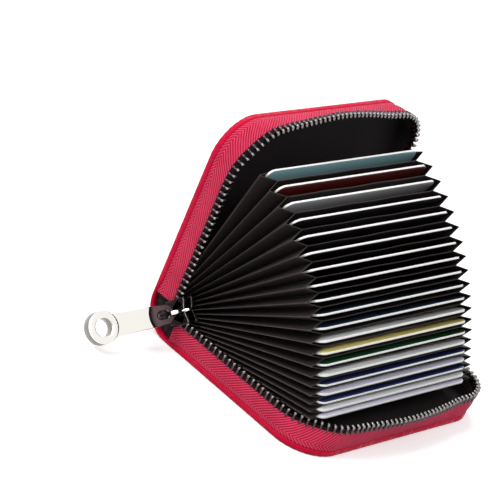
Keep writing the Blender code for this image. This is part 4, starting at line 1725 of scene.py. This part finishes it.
def smooth_outline(corners: list, radius: float, steps: int = 7) -> np.ndarray:
    """A closed outline with rounded corners.

    Args:
        corners: the corners, anticlockwise.
        radius: the rounding, cut down where a side is short.
        steps: points on each corner.

    Returns:
        The outline's points.
    """
    made = []
    corners = [np.array(c, float) for c in corners]
    for before, corner, after in zip(corners[-1:] + corners[:-1], corners, corners[1:] + corners[:1]):
        made += rounded(before, corner, after, radius, steps)
    return np.array(made)


def domed(name: str, outline: np.ndarray, profile: list) -> Object:
    """A closed plate from an outline.

    Args:
        name: the piece's name.
        outline: its points, anticlockwise.
        profile: the edge's section, insets and heights from bottom to top.

    Returns:
        The plate.
    """
    rings = []
    for inset, height in profile:
        flat = offset_ring(outline, inset)
        rings.append(np.column_stack([flat, np.full(len(flat), height)]))
    obj = swept(name, np.array(rings))
    obj.data.set_sharp_from_angle(angle=math.radians(40))
    return obj


def block(name: str, corners: list, low: float, high: float, rounding: float, steps: int) -> Object:
    """A straight block with rounded upright edges.

    Args:
        name: the piece's name.
        corners: its outline in x and z, anticlockwise.
        low: the y of one end.
        high: the y of the other.
        rounding: how far each corner is rounded.
        steps: points on each corner.

    Returns:
        The block.
    """
    ring = smooth_outline(corners, rounding, steps)
    rings = [np.column_stack([ring[:, 0], np.full(len(ring), y), ring[:, 1]]) for y in (low, high)]
    return swept(name, np.array(rings))


def bar_along(
    name: str, path: np.ndarray, across: np.ndarray, half_width: float, half_height: float, sides: int = 16
) -> Object:
    """A bar of rounded section along a flat path.

    Args:
        name: the piece's name.
        path: the path's points.
        across: the direction square to the path's plane.
        half_width: half the bar's size across.
        half_height: half its size in the path's plane.
        sides: points round the section.

    Returns:
        The bar.
    """
    tangent = np.gradient(path, axis=0)
    tangent /= np.linalg.norm(tangent, axis=1, keepdims=True)
    side = np.cross(tangent, across)
    angles = np.arange(sides) * TURN / sides
    wide, high = (np.sign(wave) * np.abs(wave) ** 0.7 for wave in (np.cos(angles), np.sin(angles)))
    rings = path[:, None, :] + across * (half_width * wide)[None, :, None]
    rings = rings + side[:, None, :] * (half_height * high)[None, :, None]
    return swept(name, rings)


@dataclass
class Slider:
    """The cast slider: two plates, the wedge between them, flanges and the bridge. Its frame has X along
    the zip, Y along the covers and Z across the zip."""

    ahead: float = 0.6 * MM
    half_length: float = 5.75 * MM
    half_width: float = 4.9 * MM
    outer_y: float = -52.5 * MM
    outer_thickness: float = 1.2 * MM
    inner_y: float = -48.5 * MM
    inner_thickness: float = 1.0 * MM
    bridge_half: float = 4.75 * MM
    bridge_rise: float = 3.9 * MM
    bridge_cut: float = 1.7 * MM
    bar: float = 0.6 * MM
    bar_width: float = 0.75 * MM
    sunk: float = 0.3 * MM
    corner: float = 1.6 * MM
    edge: float = 0.35 * MM
    bevel: float = 0.1 * MM
    crowning: float = 0.16 * MM
    crown_insets: tuple = (1.3 * MM, 2.6 * MM)
    painted_shade_to: float = 2.0 * MM
    lip_inner: float = 3.7 * MM
    lip_outer: float = 4.45 * MM
    lip_rear: float = 1.9 * MM
    lip_front: float = 1.6 * MM
    lip_corner: float = 0.3 * MM
    lips_from: float = 0.4 * MM
    lips_to: float = 0.6 * MM
    channel: tuple = (-51.75 * MM, -50.25 * MM)
    wedge_tip: float = 2.8 * MM
    wedge_shoulder: float = 4.2 * MM
    wedge_front: float = 5.8 * MM
    wedge_half: float = 0.45 * MM
    wedge_corner: float = 0.15 * MM

    def plate_outline(self) -> np.ndarray:
        """The plates' outline: shoulders at the mouth, a waist and a rounded tail.

        Returns:
            x and z of its points.
        """
        a, w = self.ahead, self.half_width
        rear, front = a - self.half_length, a + self.half_length
        half = [(rear, 0.62 * w), (a - 1.2 * MM, 0.80 * w), (a + 1.6 * MM, w), (front - 0.2 * MM, 0.93 * w)]
        half += [(front - 0.9 * MM, 0.45 * w), (front - 1.3 * MM, 0.0)]
        corners = [(x, -z) for x, z in half[:-1]] + [half[-1]] + half[-2::-1]
        return smooth_outline(corners, self.corner)

    def plate(self, name: str, y: float, thickness: float) -> Object:
        """One plate, a little crowned, with a bright edge and a painted dark reflection on its faces.

        Args:
            name: its name.
            y: its inner side.
            thickness: how far it goes outwards from there.

        Returns:
            The plate.
        """
        r, bevel, top = self.edge, self.bevel, thickness
        profile = [(bevel, 0.0), (0.0, bevel), (0.0, top - r), (0.3 * r, top - 0.3 * r), (r, top)]
        profile += zip(self.crown_insets, (top + 0.75 * self.crowning, top + self.crowning))
        obj = domed(name, self.plate_outline(), profile)
        tone(obj, lambda centre, normal: Coat.DARK if abs(normal.z) > 0.9 else Coat.POLISHED)
        return placed(obj, Matrix.Translation((0.0, y, 0.0)) @ Matrix.Rotation(math.pi / 2, 4, "X"))

    def bridge(self) -> Object:
        """The arch that holds the pull: painted shade on its rear part, where it runs through the pull's hole, and
        polished at its front end.

        Returns:
            The arch.
        """
        face = self.outer_y - self.outer_thickness
        foot, top = face + self.sunk, face - self.bridge_rise
        half = self.bridge_half - self.bar
        corners = [np.array(p) for p in ((-half, foot), (-half, top), (half, top), (half, foot))]
        path = [corners[0]]
        for three in zip(corners, corners[1:], corners[2:]):
            path += rounded(*three, self.bridge_cut, 9)
        path = np.array([*path, corners[-1]])
        points = np.column_stack([self.ahead + path[:, 0], path[:, 1], np.zeros(len(path))])
        arch = bar_along("bridge", points, np.array([0.0, 0.0, 1.0]), self.bar_width, self.bar)
        shade_end = self.ahead + self.painted_shade_to
        return tone(arch, lambda centre, normal: Coat.DARK if centre.x < shade_end else Coat.POLISHED)

    def flanges(self) -> list:
        """The four lips that hold the tapes in the channel.

        Returns:
            The lips.
        """
        made = []
        rear = self.ahead - self.half_length + self.lip_rear
        low, high = self.channel
        for span in ((self.outer_y - self.lips_from, low), (high, self.inner_y - self.lips_to)):
            for side in (-1, 1):
                corners = [(rear, self.lip_inner), (self.lip_front, self.lip_inner)]
                corners += [(self.lip_front, self.lip_outer), (rear, self.lip_outer)]
                corners = [(x, side * z) for x, z in corners][::side]
                lip = block("flange", corners, *span, self.lip_corner, 4)
                # Painted shade on the lips.
                made.append(tone(lip, lambda centre, normal: Coat.DARK))
        return made

    def wedge(self) -> Object:
        """The thin wedge that parts the rows of teeth at the mouth.

        Returns:
            The wedge.
        """
        low, high = self.outer_y - self.sunk, self.inner_y - self.inner_thickness + self.sunk
        half = self.wedge_half
        side = [(self.wedge_shoulder, 0.8 * half), (self.wedge_front, half)]
        corners = [(self.wedge_tip, 0.0)] + [(x, -z) for x, z in side] + side[::-1]
        return block("wedge", corners, low, high, self.wedge_corner, 3)

    def build(self) -> None:
        """Joins the slider's castings into one piece."""
        pieces = [self.plate("outer_plate", self.outer_y, self.outer_thickness)]
        inner = (self.inner_y - self.crowning, self.inner_thickness - self.crowning)
        pieces.append(self.plate("inner_plate", *inner))
        pieces += [self.bridge(), self.wedge()] + self.flanges()
        obj = placed(merged("slider_casting", pieces), SIZES.zip_end())
        dress(obj, [CHROME, SHADED_CHROME], "slider", "chrome", "slider_body")


@dataclass
class Pull:
    """The flat pull: a tapered tab, scooped and pierced at the bridge, with a thick ring at its end. Its
    frame has X along the tab from the bridge, Y across and Z through it."""

    length: float = 28.2 * MM
    half_thickness: float = 0.75 * MM
    half_tip: float = 3.4 * MM
    half_root: float = 4.3 * MM
    tip: float = -0.8 * MM
    tip_round: float = 2.4 * MM
    hole_start: float = 0.8 * MM
    hole_length: float = 5.2 * MM
    hole_half: float = 1.7 * MM
    scoop_end: float = 9.4 * MM
    scoop_length: float = 3.0 * MM
    scoop_bow: float = 0.9 * MM
    scoop_half: float = 0.42 * MM
    scoop_rows: tuple = (0.04 * MM, 0.5 * MM, 1.2 * MM, 2.2 * MM, 3.2 * MM)
    plain_from: float = 4 * MM
    bevel_insets: tuple = (0.34 * MM, 0.16 * MM, 0.04 * MM, 0.0)
    bevel_drops: tuple = (0.03 * MM, 0.12 * MM, 0.26 * MM)
    ring_radius: float = 5.85 * MM
    ring_hole: float = 3.25 * MM
    ring_half: float = 2.1 * MM
    ring_edge: float = 0.35 * MM
    ring_steps: int = 72
    overlap: float = 0.9 * MM
    rest: float = math.radians(-17.5)

    def place(self) -> Matrix:
        """The pull's place at rest, on the bridge.

        Returns:
            The place.
        """
        joint = next(j for j in frame["joints"] if j["name"] == "pull_swing")
        turn = Matrix.Rotation(self.rest - math.pi / 2, 4, "Z") @ Matrix.Rotation(math.pi / 2, 4, "X")
        across = Matrix.Rotation(-SIZES.opening / 2, 4, "Y")
        return Matrix.Translation(joint["pos_m"]) @ across @ turn

    def half_width_at(self, x: np.ndarray) -> np.ndarray:
        """Half the tab's width: it widens towards the ring, and its tip is rounded.

        Args:
            x: places along the tab.

        Returns:
            The half widths.
        """
        grown = np.clip(x / (self.length - self.ring_hole), 0.0, 1.0)
        straight = self.half_tip + (self.half_root - self.half_tip) * grown
        left = np.clip(1 - (x - self.tip) / self.tip_round, 0.0, 1.0)
        return straight - self.tip_round * (1 - np.sqrt(1 - left**2))

    def hole_at(self, x: np.ndarray) -> np.ndarray:
        """Half the hole's width: a slot with round ends.

        Args:
            x: places along the tab.

        Returns:
            The half widths, 0 outside the hole.
        """
        r = self.hole_half
        first, last = self.hole_start + r, self.hole_start + self.hole_length - r
        away = np.maximum(np.maximum(first - x, x - last), 0.0)
        return np.sqrt(np.maximum(r * r - away * away, 0.0))

    def tab(self) -> Object:
        """The tab: two halves of a fine grid that part round the hole for the bridge. The scoop behind the
        hole is hollow like a cylinder and ends at a curved edge.

        Returns:
            The tab.
        """
        end = self.length - self.ring_hole - self.overlap
        hole_end = self.hole_start + self.hole_length
        r = self.hole_half
        turn = np.linspace(0.0, math.pi / 2, 8)
        x = [np.linspace(self.tip, self.hole_start, 6), self.hole_start + r * (1 - np.cos(turn))]
        x += [np.linspace(self.hole_start + r, hole_end - r, 6), hole_end - r * (1 - np.sin(turn))]
        x += [np.linspace(hole_end, self.scoop_end, 22), self.scoop_end + np.array(self.scoop_rows)]
        x += [np.linspace(self.scoop_end + self.plain_from, end, 10)]
        x = np.unique(np.round(np.concatenate(x), 7))
        x[0] = self.tip
        wide, hole = self.half_width_at(x), self.hole_at(x)
        bevel, drop = np.array(self.bevel_insets), np.array(self.bevel_drops)
        share = np.linspace(0.0, 1.0, 9)[None, :]
        y = hole[:, None] + (wide - bevel[0] - hole)[:, None] * share
        y = np.concatenate([y, wide[:, None] - bevel[None, 1:]], axis=1)
        bow_ends = self.scoop_end + self.scoop_rows[-1]
        bow = np.interp(x, [hole_end, self.scoop_end, bow_ends], [0.0, 1.0, 0.0])
        grid_x = x[:, None] - self.scoop_bow * bow[:, None] * (y / wide[:, None]) ** 2
        start = self.scoop_end - self.scoop_length
        into = np.clip((x - start) / self.scoop_length, 0.0, 1.0)
        half = self.scoop_half + (self.half_thickness - self.scoop_half) * (1 - np.sqrt(1 - into**2))
        half = np.repeat(half[:, None], y.shape[1], axis=1)
        half[:, -3:] -= drop[None, :] * half[:, -3:] / self.half_thickness
        count = y.size
        index = np.arange(count).reshape(y.shape)
        shell, faces = [], []
        for part, (side, level) in enumerate(((1, 1), (1, -1), (-1, 1), (-1, -1))):
            shell.append(np.stack([grid_x, side * y, level * half], axis=-1).reshape(-1, 3))
            faces += quads(index + part * count)
        for part in (0, 2 * count):
            ring = np.concatenate([index[0], index[1:, -1], index[-1, -2::-1]]) + part
            open_here = hole[::-1] > 0
            bored = open_here | np.roll(open_here, 1) | np.roll(open_here, -1)
            for line in (ring, index[::-1, 0][bored] + part):
                faces += quads(np.stack([line, line + count]))
        obj = new_object("tab", np.concatenate(shell), faces)
        weld(obj)
        tone(obj, self.face_tone)
        obj.data.set_sharp_from_angle(angle=math.radians(35))
        return obj

    def face_tone(self, centre: Vector, normal: Vector) -> Coat:
        """The coat of a face of the tab.

        Args:
            centre: the face's centre.
            normal: its normal.

        Returns:
            Painted shade on the edges and in the scoop, and polished on the flat.
        """
        edge = self.scoop_end - self.scoop_bow * (centre.y / self.half_tip) ** 2
        if abs(normal.z) < 0.3:
            return Coat.SATIN
        return Coat.DARK if centre.x < edge else Coat.POLISHED

    def ring(self) -> Object:
        """The thick ring, turned about its own axis.

        Returns:
            The ring.
        """
        r, h, half, c = self.ring_radius, self.ring_hole, self.ring_half, self.ring_edge
        section = [(h + c, -half), (r - c, -half), (r - 0.3 * c, -half + 0.3 * c), (r, -half + c)]
        section += [(r, half - c), (r - 0.3 * c, half - 0.3 * c), (r - c, half), (h + c, half)]
        section += [(h + 0.3 * c, half - 0.3 * c), (h, half - c)]
        section += [(h, -half + c), (h + 0.3 * c, -half + 0.3 * c)]
        angles = np.arange(self.ring_steps) * TURN / self.ring_steps
        points = [[(self.length + a * math.cos(t), a * math.sin(t), z) for a, z in section] for t in angles]
        index = np.arange(len(angles) * len(section)).reshape(len(angles), -1)
        loop = np.concatenate([index, index[:1]])
        obj = new_object("ring", np.array(points).reshape(-1, 3), quads(loop, closed=True))
        obj.data.set_sharp_from_angle(angle=math.radians(40))
        # Painted shade on the ring's sides and in its hole.
        return tone(obj, lambda centre, normal: Coat.POLISHED if abs(normal.z) > 0.3 else Coat.SATIN)

    def build(self) -> None:
        """Joins tab and ring into one piece."""
        obj = placed(merged("pull_casting", [self.tab(), self.ring()]), self.place())
        dress(obj, [CHROME, SCOOP_SHADE, SATIN], "pull", "chrome", "pull_tab")


@dataclass
class Studio:
    """Floor, world, soft lamps and the camera at the photograph's angle."""

    azimuth: float = math.radians(31.38)
    elevation: float = math.radians(26.81)
    roll: float = math.radians(24.68)
    distance: float = 980 * MM
    aim_right: float = -2.80 * MM
    aim_up: float = 26.31 * MM
    lens: float = 193.65
    floor_half: float = 4.0
    paper: str = "#B4B4B4"
    paper_seen: str = "#F7F7F7"
    glow_from: float = 250 * MM
    glow_to: float = 900 * MM
    surround: float = 0.42
    floor_glow: float = 0.28
    far_glow: float = 0.66
    lamp_size: float = 0.40
    lamp_target: tuple = (0.0, 0.0, 0.04)
    lamps: tuple = (
        ("key", (-0.35, -0.65, 0.70), 5.2),
        ("front", (0.45, -0.30, 0.85), 3.6),
        ("rear", (-0.55, 0.40, 1.00), 4.5),
    )

    def camera(self) -> None:
        """Sets the camera."""
        az, el = self.azimuth, self.elevation
        right = Vector((math.cos(az), math.sin(az), 0.0))
        back = Vector((math.sin(az) * math.cos(el), -math.cos(az) * math.cos(el), math.sin(el)))
        up = back.cross(right)
        c, s = math.cos(self.roll), math.sin(self.roll)
        right, up = c * right + s * up, c * up - s * right
        origin = Vector((SIZES.axis_x, 0.0, 0.0))
        target = origin + self.aim_right * right + self.aim_up * up
        place = origin + self.distance * back
        z = (place - target).normalized()
        x = up.cross(z).normalized()
        y = z.cross(x)
        data = bpy.data.cameras.new("camera")
        data.lens = self.lens
        data.clip_start = 0.05
        camera = linked("camera", data)
        camera.matrix_world = Matrix((x, y, z)).transposed().to_4x4()
        camera.location = place
        bpy.context.scene.camera = camera

    def floor(self) -> None:
        """A white floor that keeps the shadow."""
        corners = self.floor_half * np.array([(-1, -1, 0), (1, -1, 0), (1, 1, 0), (-1, 1, 0)], float)
        obj = new_object("floor", corners, [[0, 1, 2, 3]])
        material = bpy.data.materials.new("white_backdrop_paper")
        material.use_nodes = True
        tree = material.node_tree
        seen = self.seen(tree)
        tint = {0: seen, 6: linear(self.paper), 7: linear(self.paper_seen)}
        tint = add(tree, "ShaderNodeMix", tint, data_type="RGBA").outputs[2]
        where = add(tree, "ShaderNodeTexCoord").outputs["Object"]
        away = add(tree, "ShaderNodeVectorMath", {0: where}, operation="LENGTH").outputs["Value"]
        ends = {"Value": away, "From Min": self.glow_from, "From Max": self.glow_to}
        ends.update({"To Min": self.floor_glow, "To Max": self.far_glow})
        fall = add(tree, "ShaderNodeMapRange", ends, interpolation_type="SMOOTHSTEP")
        glow = add(tree, "ShaderNodeMath", {0: seen, 1: fall}, operation="MULTIPLY")
        shader = tree.nodes["Principled BSDF"]
        feed(shader, {"Base Color": tint, "Roughness": 0.9, "Emission Strength": glow})
        feed(shader, {"Emission Color": (1.0, 1.0, 1.0, 1.0)})
        obj.data.materials.append(material)

    def seen(self, tree: NodeTree) -> Node:
        """Adds the nodes that tell who looks at a surface.

        Args:
            tree: the node tree.

        Returns:
            The node that gives 1 where the camera, a reflection or clear glass looks.
        """
        path = add(tree, "ShaderNodeLightPath").outputs
        seen = {0: path["Is Camera Ray"], 1: path["Is Glossy Ray"]}
        seen = add(tree, "ShaderNodeMath", seen, operation="MAXIMUM")
        return add(tree, "ShaderNodeMath", {0: seen, 1: path["Is Transmission Ray"]}, operation="MAXIMUM")

    def world(self) -> None:
        """An even grey surround that looks white to the camera and in reflections."""
        world = bpy.data.worlds.new("studio")
        world.use_nodes = True
        tree = world.node_tree
        tree.nodes.clear()
        ends = {"Value": self.seen(tree), "To Min": self.surround, "To Max": 1.0}
        strength = add(tree, "ShaderNodeMapRange", ends)
        light = add(tree, "ShaderNodeBackground", {0: (1.0, 1.0, 1.0, 1.0), 1: strength})
        add(tree, "ShaderNodeOutputWorld", {0: light})
        bpy.context.scene.world = world

    def lamp(self, name: str, place: tuple, power: float) -> None:
        """One square soft lamp, turned to the wallet.

        Args:
            name: its name.
            place: where it is.
            power: its power in watts.
        """
        data = bpy.data.lights.new(name, "AREA")
        data.size = self.lamp_size
        data.energy = power
        obj = linked(name, data)
        obj.location = place
        facing = Vector(place) - Vector(self.lamp_target)
        obj.rotation_euler = facing.to_track_quat("Z", "Y").to_euler()

    def build(self) -> None:
        """Builds the studio."""
        bpy.context.scene.view_settings.view_transform = "Standard"
        self.camera()
        self.floor()
        self.world()
        for name, place, power in self.lamps:
            self.lamp(name, place, power)


def dress_hidden_nodes() -> None:
    """Gives the CAD nodes that stay their finishes."""
    finishes = {
        "lower_board": BOARD,
        "upper_board": BOARD,
        "accordion_spine": POCKET_CLOTH,
        "zip_end_stop": STOP_METAL,
        "far_end_stop": STOP_METAL,
    }
    for name, finish in finishes.items():
        mesh = frame["nodes"][name].data
        mesh.materials.clear()
        mesh.materials.append(finish.material())


def main() -> None:
    """Builds every piece in order."""
    logging.basicConfig(level=logging.INFO, format="%(name)s: %(message)s")
    for piece in (Studio(), LeatherWork(), Linings(), Zip(), Fan(), Slider(), Pull()):
        piece.build()
        log.info("%s built", type(piece).__name__)
    dress_hidden_nodes()


if __name__ == "__main__":
    main()
